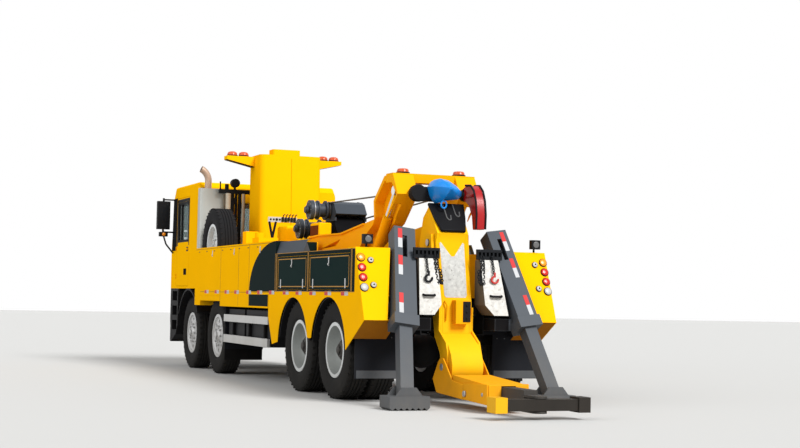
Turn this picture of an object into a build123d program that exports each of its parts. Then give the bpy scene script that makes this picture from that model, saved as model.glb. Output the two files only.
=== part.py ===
"""Heavy recovery truck, four axles, with a lifting boom, an underlift and two rear legs.

Millimetres. +X points to the front bumper, +Y to the truck's left, +Z up. The origin lies on the
ground under the middle of the overall length. Lengths along the truck are measured from the
rearmost axle (the datum plane), so a profile reads (distance ahead of that axle, height).
"""
import os
from math import cos, hypot, radians, sin

from build123d import *

os.makedirs("parts", exist_ok=True)

# Overall
half_width = 1275
front_overhang = 1440
rear_reach = 3400
seat_gap = 0.3
move_gap = 6

# Running gear
wheel_r = 613
tyre_w = 310
bead_r = 312
flange_r = 350
rim_half_w = 130
bogie_spread = 1450
middle_gap = 4475
front_spread = 1750
front_wheel_y = half_width - 255
dual_outer_y = half_width - 215
dual_pitch = 345
kingpin_y = front_wheel_y - 240
arch_r = 735

axle_x = {
    "front_1": bogie_spread + middle_gap + front_spread,
    "front_2": bogie_spread + middle_gap,
    "rear_1": bogie_spread,
    "rear_2": 0,
}
front_x = axle_x["front_1"] + front_overhang
datum_x = (rear_reach - front_x) / 2
datum = Plane((datum_x, 0, 0))

# Engine
engine_x = (7300, 8500)
engine_z = (760, 1340)

# Frame
rail_y = (345, 425)
rail_z = (840, 1130)
rail_wall = 12
box_front_x = -960
rail_x = (box_front_x + seat_gap, front_x - 330)
deck_z = 1300

# Cab
cab_x = (7120, 9060)
cab_half_w = half_width - 30
cab_z = (1380, 3215)
cab_wall = 48
door_x = (7690, 8620)
door_z = (1420, 3000)
window_x = (7740, 8540)
window_z = (2200, 2920)
screen_z = (2160, 2960)
screen_half_w = 1060
rear_window_z = (2300, 2880)
rear_window_half_w = 520
hinge_r = 9
hinge_at = ((1560, 1600), (2050, 2090))

# Bodies along the sides
side_inner_y = half_width - 635
front_body_x = (2384, 7050)
front_body_z = (1100, 2060)
rear_body_x = (-650, 2380)
rear_body_z = (1300, 1870)
skin = 40
locker_z = (1370, 1820)
locker_hinge_r = 8
locker_x = {"front": (940, 2250), "rear": (-740, 830)}

# Tower behind the cab
tower_x = (5760, 6500)
tower_half_w = 530
tower_top = 3620
tower_corner = 110

# Boom, its pivot and its lift cylinders
head_axis = (330, 2600)
rope_y = 262
head_face_x = -480
boom_pivot = (2900, 1950)
boom_y = (290, 567)
boom_web_y = (405, 440)
cylinder_y = 503
cylinder_top = (-265, 2638)
cylinder_foot = (880, 1330)
cylinder_r = 62
cylinder_rod_r = 38
rod_eye_r = 60
rod_eye_half_w = 45
rod_show = 420

# Underlift
mast_pivot = (-735, 1978)
mast_half_w = 210
stinger_pin = (-1258, 463)
stinger_half_w = 175
stinger_box_y = 90
crossbar_x = -3310
crossbar_z = (100, 225)
crossbar_half_w = 570
crossbar_pin_r = 30
fork_y = 500
fork_bore_r = 25

# Rear legs
leg_top = (-763, half_width - 656, 2100)
leg_collar = (-1387, half_width - 457, 930)
sleeve_w = 270
leg_w = 160
foot_z = 2


def pairs(inner, outer):
    """The same stretch of y on the left and on the right."""
    return (inner, outer), (-outer, -inner)


def block(x, y, z, mode=Mode.ADD):
    """A box between pairs of limits."""
    with Locations(((x[0] + x[1]) / 2, (y[0] + y[1]) / 2, (z[0] + z[1]) / 2)):
        Box(x[1] - x[0], y[1] - y[0], z[1] - z[0], mode=mode)


def side_slab(outline, y, mode=Mode.ADD):
    """A side view [(x, z), ...] made solid between two values of y."""
    plane = Plane((datum_x, y[1], 0), x_dir=(1, 0, 0), z_dir=(0, -1, 0))
    with BuildSketch(plane) as profile:
        with BuildLine():
            Polyline(*outline, close=True)
        make_face()
    extrude(profile.sketch, amount=y[1] - y[0], mode=mode)


def rear_slab(outline, x, mode=Mode.ADD):
    """A rear view [(y, z), ...] made solid between two values of x."""
    plane = Plane((datum_x + x[0], 0, 0), x_dir=(0, 1, 0), z_dir=(1, 0, 0))
    with BuildSketch(plane) as profile:
        with BuildLine():
            Polyline(*outline, close=True)
        make_face()
    extrude(profile.sketch, amount=x[1] - x[0], mode=mode)


def plan_slab(outline, z, mode=Mode.ADD):
    """A plan view [(x, y), ...] made solid between two heights."""
    with BuildSketch(Plane((datum_x, 0, z[0]))) as profile:
        with BuildLine():
            Polyline(*outline, close=True)
        make_face()
    extrude(profile.sketch, amount=z[1] - z[0], mode=mode)


def arch(x, y, radii, angles, mode=Mode.ADD):
    """A curved strip round a wheel centre, between two angles in degrees."""
    low, high = (radians(a) for a in angles)
    middle = (low + high) / 2
    points = [[(x + r * cos(a), wheel_r + r * sin(a)) for a in (low, middle, high)] for r in radii]
    plane = Plane((datum_x, y[1], 0), x_dir=(1, 0, 0), z_dir=(0, -1, 0))
    with BuildSketch(plane) as profile:
        with BuildLine():
            ThreePointArc(*points[0])
            ThreePointArc(*points[1])
            Line(points[0][0], points[1][0])
            Line(points[0][2], points[1][2])
        make_face()
    extrude(profile.sketch, amount=y[1] - y[0], mode=mode)


def rod(start, end, radius, mode=Mode.ADD):
    """A round bar between two points."""
    base = Vector(start[0] + datum_x, start[1], start[2])
    run = Vector(end[0] - start[0], end[1] - start[1], end[2] - start[2])
    with BuildSketch(Plane(base, z_dir=run)) as section:
        Circle(radius)
    extrude(section.sketch, amount=run.length, mode=mode)


def cross_rod(x, y, z, radius, mode=Mode.ADD):
    """A round bar across the truck."""
    rod((x, y[0], z), (x, y[1], z), radius, mode)


def beam(start, end, width, depth, mode=Mode.ADD):
    """A square bar between two points, its width kept level across the truck."""
    base = Vector(start[0] + datum_x, start[1], start[2])
    run = Vector(end[0] - start[0], end[1] - start[1], end[2] - start[2])
    across = Vector(0, 1, 0).cross(run).cross(run) * -1
    with BuildSketch(Plane(base, x_dir=across, z_dir=run)) as section:
        Rectangle(width, depth)
    extrude(section.sketch, amount=run.length, mode=mode)


def turned(outline, x, z, mode=Mode.ADD):
    """A profile [(y, radius), ...] revolved about a line across the truck."""
    centre = Vector(datum_x + x, 0, z)
    with BuildSketch(Plane(centre, x_dir=(0, 1, 0), z_dir=(1, 0, 0))) as profile:
        with BuildLine():
            Polyline(*outline, close=True)
        make_face()
    revolve(profile.sketch, axis=Axis(centre, (0, 1, 0)), mode=mode)


def save(piece, node):
    """Label a finished piece and write it."""
    piece.part.label = node
    export_step(piece.part, f"parts/{node}.step")


def tyre_outline(y, side):
    """Section of one tyre: (offset, radius) from the bead up the wall to the tread."""
    half = tyre_w / 2
    wall = [(118, bead_r), (118, flange_r + 1), (half - 5, 400), (half, 470), (half - 10, 570),
            (half - 38, wheel_r - 7)]
    crown = [(0, wheel_r)]
    return [(y + side * o, r) for o, r in wall + crown] + [(y - side * o, r) for o, r in wall[::-1]]


def rim_outline(y, side, disc, hub_r, hub_end):
    """Half section of a rim and its disc; disc and hub_end are offsets out from its middle."""
    out = [(-rim_half_w, flange_r), (-rim_half_w, 296), (disc - 40, 290), (disc - 40, 190), (disc - 70, hub_r),
           (disc - 70, 0), (hub_end, 0), (hub_end, hub_r * 0.62), (hub_end - 40, hub_r), (disc + 10, hub_r),
           (disc, 190), (disc - 8, 280), (rim_half_w - 14, 300), (rim_half_w, 306), (rim_half_w, flange_r),
           (rim_half_w - 11.7, flange_r), (rim_half_w - 11.7, bead_r - seat_gap),
           (11.7 - rim_half_w, bead_r - seat_gap), (11.7 - rim_half_w, flange_r)]
    return [(y + side * o, r) for o, r in out]


# Wheels: steered ones are single, those of the rear bogie are twins on one hub
for axle, x in axle_x.items():
    for side, hand in ((1, "left"), (-1, "right")):
        twin = axle.startswith("rear")
        rows = [dual_outer_y, dual_outer_y - dual_pitch] if twin else [front_wheel_y]
        with BuildPart(datum) as tyre:
            for y in rows:
                turned(tyre_outline(side * y, side), x, wheel_r)
        save(tyre, f"tyre_{axle}_{hand}")
        with BuildPart(datum) as rim:
            if twin:
                turned(rim_outline(side * rows[0], side, -60, 130, 70), x, wheel_r)
                turned(rim_outline(side * rows[1], -side, -60, 130, -60), x, wheel_r)
                spacer = sorted((side * (rows[1] + rim_half_w), side * (rows[0] - rim_half_w)))
                turned([(spacer[0], 285), (spacer[1], 285), (spacer[1], 311), (spacer[0], 311)], x, wheel_r)
                turned([(side * (rows[1] + 55), 0), (side * rows[0], 0), (side * rows[0], 120),
                        (side * (rows[1] + 55), 120)], x, wheel_r)
            else:
                turned(rim_outline(side * rows[0], side, 110, 120, 150), x, wheel_r)
            face = Plane((datum_x + x, side * (rows[0] - 200), wheel_r), x_dir=(1, 0, 0),
                         z_dir=(0, side, 0))
            with BuildSketch(face) as holes:
                with PolarLocations(235, 8):
                    Circle(30)
            extrude(holes.sketch, amount=400, mode=Mode.SUBTRACT)
        save(rim, f"rim_{axle}_{hand}")

# Steering knuckles: kingpin boss, brake drum and stub that reach into the wheel
hub_face_y = front_wheel_y + 110 - 70 - seat_gap
for i, axle in enumerate(("front_1", "front_2")):
    x = axle_x[axle]
    for side, hand in ((1, "left"), (-1, "right")):
        with BuildPart(datum) as knuckle:
            cross_rod(x, sorted((side * (kingpin_y + 60), side * hub_face_y)), wheel_r, 60)
            cross_rod(x, sorted((side * (kingpin_y + 110), side * (hub_face_y - 10))), wheel_r, 205)
            for z in (wheel_r + 75, wheel_r - 105):
                block((x - 50, x + 50), sorted((side * (kingpin_y - 45), side * (kingpin_y + 70))), (z, z + 30))
            block((x - 50, x + 50), sorted((side * (kingpin_y + 55), side * (kingpin_y + 115))),
                  (wheel_r - 105, wheel_r + 105))
        save(knuckle, f"knuckle_{axle}_{hand}")

# Axles: forged beams in front, driven housings behind, each on its leaf springs
spring_y = (350, 420)
twin_hub_y = dual_outer_y - dual_pitch + 55
with BuildPart(datum) as axles:
    for axle in ("front_1", "front_2"):
        x = axle_x[axle]
        drop = 130
        side_half = [(0, wheel_r - drop - 60), (430, wheel_r - drop - 60), (640, wheel_r - 60),
                     (kingpin_y - 60, wheel_r - 60), (kingpin_y - 60, wheel_r + 60), (600, wheel_r + 60),
                     (435, wheel_r - drop + 60), (0, wheel_r - drop + 60)]
        rear_slab(side_half + [(-y, z) for y, z in side_half[-2:0:-1]], (x - 45, x + 45))
        for side in (1, -1):
            rod((x, side * kingpin_y, wheel_r - 74.5), (x, side * kingpin_y, wheel_r + 74.5), 44)
            block((x - 40, x + 40), sorted((side * (kingpin_y - 70), side * (kingpin_y - 20))),
                  (wheel_r - 60, wheel_r + 60))
    for axle in ("rear_1", "rear_2"):
        x = axle_x[axle]
        cross_rod(x, (-twin_hub_y, twin_hub_y), wheel_r, 75)
        with Locations((x, 0, wheel_r)):
            Sphere(225)
        for y in pairs(twin_hub_y - 330, twin_hub_y - seat_gap):
            cross_rod(x, y, wheel_r, 118)
        for y in pairs(twin_hub_y - 170, twin_hub_y - 20):
            cross_rod(x, y, wheel_r, 205)
    rod((bogie_spread + 200, 0, wheel_r + 20), (engine_x[0] - move_gap, 0, 800), 50)
    rod((200, 0, wheel_r), (bogie_spread - 200, 0, wheel_r), 50)
save(axles, "axles")

# Leaf springs: a stack of leaves over each axle, with hangers up to the rails
with BuildPart(datum) as springs:
    for axle, x in axle_x.items():
        top = wheel_r + 75 + seat_gap if axle.startswith("rear") else wheel_r - 70 + seat_gap
        for y in pairs(*spring_y):
            block((x - 70, x + 70), y, (top, top + 60))
            for leaf, half in enumerate((210, 330, 450, 560)):
                ends = (top + 60 + 14 * leaf, top + 75 + 14 * leaf)
                rise = 0.06 * half
                side_slab([(x - half, ends[0] + rise), (x, ends[0]), (x + half, ends[0] + rise),
                           (x + half, ends[1] + rise), (x, ends[1]), (x - half, ends[1] + rise)], y)
            for end in (-1, 1):
                eye = x + end * 560
                block((eye - 30, eye + 30), y, (top + 110, rail_z[0] - seat_gap))
save(springs, "springs")

# Frame: two channel rails, cross members, and the subframe that carries boom and lockers
with BuildPart(datum) as frame:
    for y in pairs(*rail_y):
        block(rail_x, y, rail_z)
    inner = (rail_x[0] - 1, rail_x[1] + 1)
    for y in pairs(rail_y[0] - 1, rail_y[1] - rail_wall):
        block(inner, y, (rail_z[0] + rail_wall, rail_z[1] - rail_wall), Mode.SUBTRACT)
    for x in (-600, 725, 2300, 3600, 4900, 6900, 8640):
        block((x - 50, x + 50), (-rail_y[1] + rail_wall, rail_y[1] - rail_wall),
              (rail_z[0] + 30, rail_z[1] - 40))
    for y in pairs(*rail_y):
        block((rail_x[0], 6600), y, (rail_z[1], deck_z - 40))
        for x in (7230, 8900):
            block((x - 60, x + 60), y, (rail_z[1] - 1, cab_z[0] - seat_gap))
    for y in pairs(rail_y[0] - 40, half_width - 330):
        for x in (-600, 725, 2250):
            block((x - 40, x + 40), y, (deck_z - 70, deck_z - seat_gap))
    block((3080, 7040), (seat_gap - side_inner_y, side_inner_y - seat_gap), (deck_z - 41, deck_z - seat_gap))
    block((2720, 3080), (-boom_y[1] - 40, boom_y[1] + 40), (deck_z - 70, 1700))
    for y in pairs(boom_y[1] + seat_gap, boom_y[1] + 40):
        side_slab([(2720, 1690), (3080, 1690), (2990, 2050), (2810, 2050)], y)
    for y in pairs(mast_half_w + seat_gap, mast_half_w + 40):
        side_slab([(-900, rail_z[1]), (-560, rail_z[1]), (-600, 1700), (-640, 2080), (-830, 2080), (-870, 1700)], y)
        cross_rod(mast_pivot[0], (y[0] - 1, y[1] + 1), mast_pivot[1], 45 + seat_gap, Mode.SUBTRACT)
    for y in pairs(mast_half_w + seat_gap, rail_y[0] + 1):
        block((-900, -560), y, (rail_z[1] - 60, deck_z - 40))
    for y in pairs(cylinder_y - 73, cylinder_y - 45 - seat_gap) + pairs(cylinder_y + 45 + seat_gap, cylinder_y + 62):
        side_slab([(cylinder_foot[0] - 110, 1225), (cylinder_foot[0] + 110, 1225), (cylinder_foot[0] + 60, 1400),
                   (cylinder_foot[0] - 60, 1400)], y)
    for y in pairs(rail_y[0], cylinder_y + 62):
        block((cylinder_foot[0] - 110, cylinder_foot[0] + 110), y, (1225, deck_z - 60))
save(frame, "frame")

# Engine and gearbox as one plain block between the rails, under the cab floor
with BuildPart(datum) as engine:
    block(engine_x, (seat_gap - rail_y[0], rail_y[0] - seat_gap), engine_z)
save(engine, "engine_block")

# Cab: hollow shell with windscreen, side windows and door openings cut
cab_outline = [(cab_x[0], cab_z[0]), (cab_x[1], cab_z[0]), (cab_x[1] + 10, 2080), (cab_x[1] - 130, 3040),
               (cab_x[1] - 260, cab_z[1]), (cab_x[0] + 90, cab_z[1]), (cab_x[0], cab_z[1] - 90)]
w = cab_wall
cab_inside = [(cab_x[0] + w, cab_z[0] + w), (cab_x[1] - w, cab_z[0] + w), (cab_x[1] - w + 8, 2080),
              (cab_x[1] - w - 130, 3030), (cab_x[1] - 290, cab_z[1] - w),
              (cab_x[0] + 110, cab_z[1] - w), (cab_x[0] + w, cab_z[1] - 110)]
with BuildPart(datum) as cab:
    side_slab(cab_outline, (-cab_half_w, cab_half_w))
    long_edges = cab.edges().filter_by(Axis.Y, reverse=True).filter_by(lambda e: abs(e.center().Y) > 1200)
    fillet(long_edges.filter_by(lambda e: e.center().Z > 2900 or e.center().X > datum_x + 8900), 60)
    side_slab(cab_inside, (-cab_half_w + w, cab_half_w - w), Mode.SUBTRACT)
    block(door_x, (-cab_half_w - 9, cab_half_w + 9), door_z, Mode.SUBTRACT)
    block((cab_x[1] - 400, cab_x[1] + 80), (-screen_half_w, screen_half_w), screen_z, Mode.SUBTRACT)
    block((cab_x[0] - 9, cab_x[0] + w + 9), (-rear_window_half_w, rear_window_half_w), rear_window_z, Mode.SUBTRACT)
    for side in (1, -1):
        axis = (door_x[1] - move_gap, side * (cab_half_w + hinge_r))
        for low, high in hinge_at:
            rod((*axis, high + seat_gap), (*axis, 2 * high - low), hinge_r - 0.5)
            block((door_x[1], door_x[1] + 30), sorted((side * (cab_half_w - 1), side * (cab_half_w + hinge_r))),
                  (high + seat_gap, 2 * high - low))
save(cab, "cab_shell")

# Windscreen and rear window, set in their openings
def screen_x(z):
    """Outer face of the cab front at a height above the waist."""
    return cab_x[1] + 10 - (z - 2080) * 140 / 960


with BuildPart(datum) as glass:
    low, high = screen_z[0] + seat_gap, screen_z[1] - seat_gap
    side_slab([(screen_x(low) - 30, low), (screen_x(low) - 22, low), (screen_x(high) - 22, high),
               (screen_x(high) - 30, high)], (seat_gap - screen_half_w, screen_half_w - seat_gap))
    block((cab_x[0] + 20, cab_x[0] + 28), (seat_gap - rear_window_half_w, rear_window_half_w - seat_gap),
          (rear_window_z[0] + seat_gap, rear_window_z[1] - seat_gap))
save(glass, "cab_glass")

# Cab doors, hinged at the front edge, with the window cut
for side, hand in ((1, "left"), (-1, "right")):
    panel = sorted((side * (cab_half_w - cab_wall), side * cab_half_w))
    with BuildPart(datum) as door:
        block((door_x[0] + move_gap, door_x[1] - move_gap), panel, (door_z[0] + move_gap, door_z[1] - move_gap))
        block(window_x, (panel[0] - 1, panel[1] + 1), window_z, Mode.SUBTRACT)
        block((door_x[0] + 60, door_x[0] + 190), sorted((side * cab_half_w, side * (cab_half_w + 22))), (2060, 2090))
        for low, high in hinge_at:
            axis = (door_x[1] - move_gap, side * (cab_half_w + hinge_r))
            rod((*axis, low), (*axis, high), hinge_r)
    save(door, f"door_{hand}")

# Seats, dashboard, steering wheel and floor tunnel seen through the glass
floor_z = cab_z[0] + cab_wall
with BuildPart(datum) as interior:
    for y in (-620, 620):
        block((7600, 8100), (y - 250, y + 250), (floor_z + seat_gap, floor_z + 420))
        side_slab([(7600, floor_z + 400), (7720, floor_z + 400), (7600, floor_z + 1150), (7500, floor_z + 1150)],
                  (y - 230, y + 230))
    block((8740, 8980), (-1150, 1150), (floor_z + 420, floor_z + 720))
    block((8780, 8960), (-300, 300), (floor_z + seat_gap, floor_z + 430))
    rod((8560, 620, floor_z + 740), (8760, 620, floor_z + 600), 30)
    rod((8545, 620, floor_z + 750), (8562, 620, floor_z + 738), 225)
save(interior, "cab_interior")

# Dark lower trim of the cab: bumper, steps, arches, grille, visor and mirrors
step_y = (cab_half_w - 345, cab_half_w - 5)
bumper_z = (420, 820)
grille_half_w = 1120
slat_pitch = 84
with BuildPart(datum) as trim:
    plan_slab([(front_x - 260, -1240), (front_x - 130, -1240), (front_x, -1020), (front_x, 1020),
               (front_x - 130, 1240), (front_x - 260, 1240)], bumper_z)
    block((front_x - 40, front_x + 9), (-700, 700), (bumper_z[0] + 60, bumper_z[0] + 190), Mode.SUBTRACT)
    for y in pairs(780, 960):
        block((front_x - 30, front_x + 9), y, (bumper_z[0] + 170, bumper_z[1] - 60), Mode.SUBTRACT)
    block((front_x - 120, front_x - 50), (-grille_half_w, grille_half_w), (bumper_z[1], cab_z[0] - seat_gap))
    for slot in range(6):
        low = bumper_z[1] + 30 + slot * slat_pitch
        block((front_x - 80, front_x - 49), (-grille_half_w + 160, grille_half_w - 160), (low, low + 52), Mode.SUBTRACT)
    for y in pairs(*step_y):
        side_slab([(8430, cab_z[0] - seat_gap), (8430, 720), (8560, 560), (front_x - 200, bumper_z[0]),
                   (front_x - 100, bumper_z[1]), (front_x - 100, cab_z[0] - seat_gap)], y)
        tread_y = (y[0] - 1, y[1] - 120) if y[0] < 0 else (y[0] + 120, y[1] + 1)
        for z in (640, 900, 1160):
            block((8500, 8860), tread_y, (z, z + 170), Mode.SUBTRACT)
        arch(axle_x["front_1"], y, (arch_r, cab_z[0] - seat_gap - wheel_r), (25, 152))
        block((axle_x["front_1"] - 150, axle_x["front_1"] + 150), y, (wheel_r + arch_r + 5, cab_z[0] - seat_gap))
    visor = [(screen_x(2990) + seat_gap, 2990), (screen_x(2900) + 110, 2900), (screen_x(2900) + 118, 2920),
             (screen_x(3036) + seat_gap, 3036)]
    side_slab(visor, (-screen_half_w - 60, screen_half_w + 60))
    for side in (1, -1):
        glass_y = side * (cab_half_w + 210)
        for z in (2400, 2990):
            rod((8850, side * (cab_half_w + seat_gap), z), (8850, glass_y, z), 14)
        rod((8850, glass_y, 2372), (8850, glass_y, 3018), 18)
        block((8800, 8900), sorted((glass_y - 115, glass_y + 115)), (2450, 2960))
save(trim, "cab_trim")

# Exhaust: upright silencer box behind the cab, with a stack that bends outboard
exhaust_x = (6880, 7060)
exhaust_y = (half_width - 475, half_width - 5)
exhaust_top = 3090
stack_r = 58
stack_wall = 6
stack_at = (6970, half_width - 165)
with BuildPart(datum) as exhaust:
    block(exhaust_x, exhaust_y, (front_body_z[1] + seat_gap, exhaust_top))
    fillet(exhaust.edges().filter_by(Axis.Z), 60)
    side_view = Plane((datum_x + stack_at[0], 0, 0), x_dir=(0, 1, 0), z_dir=(1, 0, 0))
    with BuildLine(side_view) as bend:
        riser = Line((stack_at[1], exhaust_top - 5), (stack_at[1], exhaust_top + 130))
        TangentArc(riser @ 1, (stack_at[1] + 130, exhaust_top + 330), tangent=riser % 1)
    for radius, mode in ((stack_r, Mode.ADD), (stack_r - stack_wall, Mode.SUBTRACT)):
        with BuildSketch(Plane((datum_x + stack_at[0], stack_at[1], exhaust_top - 5))) as bore:
            Circle(radius)
        sweep(bore.sketch, path=bend.line, mode=mode)
save(exhaust, "exhaust")

# Gantry between cab and tower: posts, braces, a beam over the silencer and a work lamp
gantry_x = 6790
gantry_top = 3080
post_r = 30
with BuildPart(datum) as gantry:
    for y, radius in ((726, post_r), (600, post_r), (663, 22), (524, 22)):
        base_z = (front_body_z[1] if y + radius > side_inner_y else deck_z) + seat_gap
        for side in (1, -1):
            rod((gantry_x, side * y, base_z), (gantry_x, side * y, gantry_top - 30), radius)
    block((gantry_x - 40, gantry_x + 40), (-780, 965), (gantry_top - 70, gantry_top))
    for side in (1, -1):
        rod((gantry_x, side * 726, 2780), (gantry_x, side * 640, gantry_top - 40), 18)
        block((gantry_x - 30, gantry_x + 30), sorted((side * 515, side * 735)), (front_body_z[1] + 40, front_body_z[1] + 90))
    rod((gantry_x, 690, gantry_top - 5), (gantry_x, 690, gantry_top + 60), 20)
    rod((gantry_x - 60, 690, gantry_top + 110), (gantry_x + 40, 690, gantry_top + 110), 75)
    rod((gantry_x, 830, gantry_top - 5), (gantry_x, 830, gantry_top + 90), 34)
    rod((gantry_x, 945, gantry_top - 5), (gantry_x, 945, gantry_top + 130), 12)
save(gantry, "gantry")

# Spare wheel, upright in its well
spare_x, spare_y, spare_z = 6230, half_width - 200, 2100
with BuildPart(datum) as spare:
    turned(tyre_outline(spare_y, 1), spare_x, spare_z)
    turned(rim_outline(spare_y, 1, 60, 110, 70), spare_x, spare_z)
save(spare, "spare_wheel")

# Tower locker with its turret and the two lighting wings, the housing of the controls behind it
wing_x = (6150, 6350)
wing_reach = 1007
door_seam = (8, 12)
with BuildPart(datum) as tower:
    side_slab([(tower_x[0] - 60, deck_z), (tower_x[1], deck_z), (tower_x[1], tower_top),
               (tower_x[0] + 30, tower_top)], (-tower_half_w, tower_half_w))
    upright = tower.edges().filter_by(lambda e: abs((e @ 1 - e @ 0).Z) > 1000)
    fillet(upright, tower_corner)
    side_slab([(tower_x[0] - 61, deck_z + 60), (tower_x[0] - 60 + door_seam[1], deck_z + 60),
               (tower_x[0] + 27 + door_seam[1], tower_top - 60), (tower_x[0] - 61, tower_top - 60)],
              (-door_seam[0] / 2, door_seam[0] / 2), Mode.SUBTRACT)
    block((6060, 6330), (-240, 240), (tower_top, tower_top + 120))
    fillet(tower.edges().filter_by(Axis.Z).filter_by(lambda e: e.center().Z > tower_top), 40)
    for side in (1, -1):
        wing = [(side * (tower_half_w - 20), tower_top - 190), (side * wing_reach, tower_top - 80),
                (side * wing_reach, tower_top - 20), (side * (tower_half_w - 20), tower_top - 20)]
        rear_slab(wing, wing_x)
    block((4900, 5100), (800, 1000), (front_body_z[1] + seat_gap, front_body_z[1] + 230))
    block((4150, 4500), (700, 1010), (front_body_z[1] + seat_gap, front_body_z[1] + 110))
    rod((4600, 860, front_body_z[1] + seat_gap), (4600, 860, front_body_z[1] + 200), 80)
save(tower, "tower")

# Side bodies: front lockers over the second axle, rear lockers over the bogie
spare_well = (spare_x - wheel_r - 20, spare_x + wheel_r + 20)
arch_2 = (axle_x["front_2"] - 555, axle_x["front_2"] + 745)
with BuildPart(datum) as bodies:
    for side in (1, -1):
        y = sorted((side * side_inner_y, side * half_width))
        side_slab([(front_body_x[0], front_body_z[1]), (front_body_x[1], front_body_z[1]),
                   (front_body_x[1], front_body_z[0]), (arch_2[1], front_body_z[0]), (arch_2[1], 1260),
                   (arch_2[0], 1260), (arch_2[0], front_body_z[0]), (2690, front_body_z[0]),
                   (2690, deck_z), (front_body_x[0], deck_z)], y)
        block(arch_2, sorted((side * (half_width - 28), side * half_width)), (1180, 1262))
        side_slab([(rear_body_x[0], rear_body_z[1] + 19), (-920, rear_body_z[1] + 19), (-1270, 1015),
                   (-905, deck_z), (rear_body_x[1] + 5, deck_z), (rear_body_x[1] + 5, rear_body_z[1]),
                   (rear_body_x[0], rear_body_z[1])], y)
        rear_slab([(side * 600, 1900), (side * (half_width - 450), 1900), (side * (half_width - 290), 980),
                   (side * 600, 980)], (-1300, -650), Mode.SUBTRACT)
        coaming = [(side * side_inner_y, rear_body_z[1] - 1), (side * (half_width - 8), rear_body_z[1] - 1),
                   (side * (half_width - 70), front_body_z[1] - 20), (side * side_inner_y, front_body_z[1] - 20)]
        rear_slab(coaming, (1150, front_body_x[0] + 1))
    block(spare_well, (spare_y - tyre_w / 2 - 20, spare_y + tyre_w / 2 + 20),
          (spare_z - wheel_r - seat_gap, front_body_z[1] + 9), Mode.SUBTRACT)
    for x in locker_x.values():
        for y in pairs(half_width - skin, half_width + 9):
            block(x, y, locker_z, Mode.SUBTRACT)
    for x in (arch_2[0], front_body_x[0] + 1300):
        for y in pairs(half_width - 5, half_width + 1):
            block((x - 4, x + 4), y, (front_body_z[0] + 160, front_body_z[1] - 40), Mode.SUBTRACT)
save(bodies, "side_bodies")

# Locker doors: each turns down about its lower edge, which is rounded about the hinge line
for place, x in locker_x.items():
    for side, hand in ((1, "left"), (-1, "right")):
        lid_x = (x[0] + move_gap, x[1] - move_gap)
        lid_y = (half_width - skin + seat_gap, half_width - locker_hinge_r, half_width)
        lid_z = (locker_z[0] + move_gap, locker_z[0] + move_gap + locker_hinge_r, locker_z[1] - move_gap)
        with BuildPart(datum) as lid:
            block(lid_x, sorted((side * lid_y[0], side * lid_y[2])), lid_z[1:])
            block(lid_x, sorted((side * (lid_y[0] + 4), side * lid_y[1])), lid_z[:2])
            rod((lid_x[0], side * lid_y[1], lid_z[1]), (lid_x[1], side * lid_y[1], lid_z[1]), locker_hinge_r)
        save(lid, f"locker_door_{place}_{hand}")

# Mudguards of the bogie: a skin with two arches, and rolled liners over the tyres
arches = {"rear_1": (860, 2190, 1255), "rear_2": (-650, 756, 1285)}
with BuildPart(datum) as fenders:
    for y in pairs(half_width - 30, half_width):
        side_slab([(2670, deck_z - seat_gap), (2670, 980), (2450, 600), (2190, 640), (2190, 1000), (1950, 1255),
                   (1100, 1255), (860, 1000), (850, 760), (800, 745), (756, 760), (756, 1030), (500, 1280),
                   (-400, 1280), (-650, 1030), (-650, 640), (-1269.7, 1014.8), (-904.8, deck_z - seat_gap)], y)
    for x in (axle_x["rear_1"], axle_x["rear_2"]):
        for y in pairs(570, half_width - 30):
            arch(x, y, (655, 668), (25, 155))
save(fenders, "fenders")

# Lamps: rear corners, tower wings, cross head, work lamps and headlamps
# columns: height, distance in from the side, radius
rear_lamps = ((1760, 45, 42), (1636, 45, 55), (1520, 45, 42), (1390, 45, 55), (1720, 171, 45), (1420, 171, 45))
rear_top = rear_body_z[1] + 19
with BuildPart(datum) as lamps:
    slope = (1270 - 920) / (rear_top - 1015)
    out = (-0.928, 0.372)
    for side in (1, -1):
        for z, inset, radius in rear_lamps:
            x, y = -920 - slope * (rear_top - z), side * (half_width - inset)
            rod((x + seat_gap * out[0], y, z + seat_gap * out[1]), (x + 28 * out[0], y, z + 28 * out[1]), radius)
        for y in (895, 700):
            rod((6250, side * y, tower_top - 20 + seat_gap), (6250, side * y, tower_top + 110), 60)
        work_y = side * (half_width - 145)
        block((-970, -900), sorted((work_y - 50, work_y + 50)), (rear_top + 45, rear_top + 145))
        rod((-900, work_y, rear_top + seat_gap), (-900, work_y, rear_top + 60), 14)
        head_y = sorted((side * (780 + seat_gap), side * (960 - seat_gap)))
        block((front_x - 30 + seat_gap, front_x - 8), head_y, (bumper_z[0] + 170 + seat_gap, bumper_z[1] - 60 - seat_gap))
save(lamps, "lamps")

# Mud flaps behind the second axle and behind the bogie
with BuildPart(datum) as flaps:
    for y in pairs(600, half_width - 45):
        block((5170, 5185), y, (420, front_body_z[0] - seat_gap))
        block((-855, -840), y, (300, 870))
    for y in pairs(rail_y[1] + seat_gap, half_width - 45):
        block((-875, -820), y, (845, 890))
save(flaps, "mud_flaps")

# Side guard rails and the tanks behind them
tank_y = (560, half_width - 85)
guard_t = 40
with BuildPart(datum) as guards:
    for y in pairs(half_width - 5 - guard_t, half_width - 5):
        for z in ((865, 975), (540, 660)):
            block((2700, 5120), y, z)
    for y in pairs(tank_y[1] + seat_gap, half_width - 4 - guard_t):
        for x in (3000, 3800, 4700):
            block((x - 25, x + 25), y, (560, 955))
save(guards, "side_guards")

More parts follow.
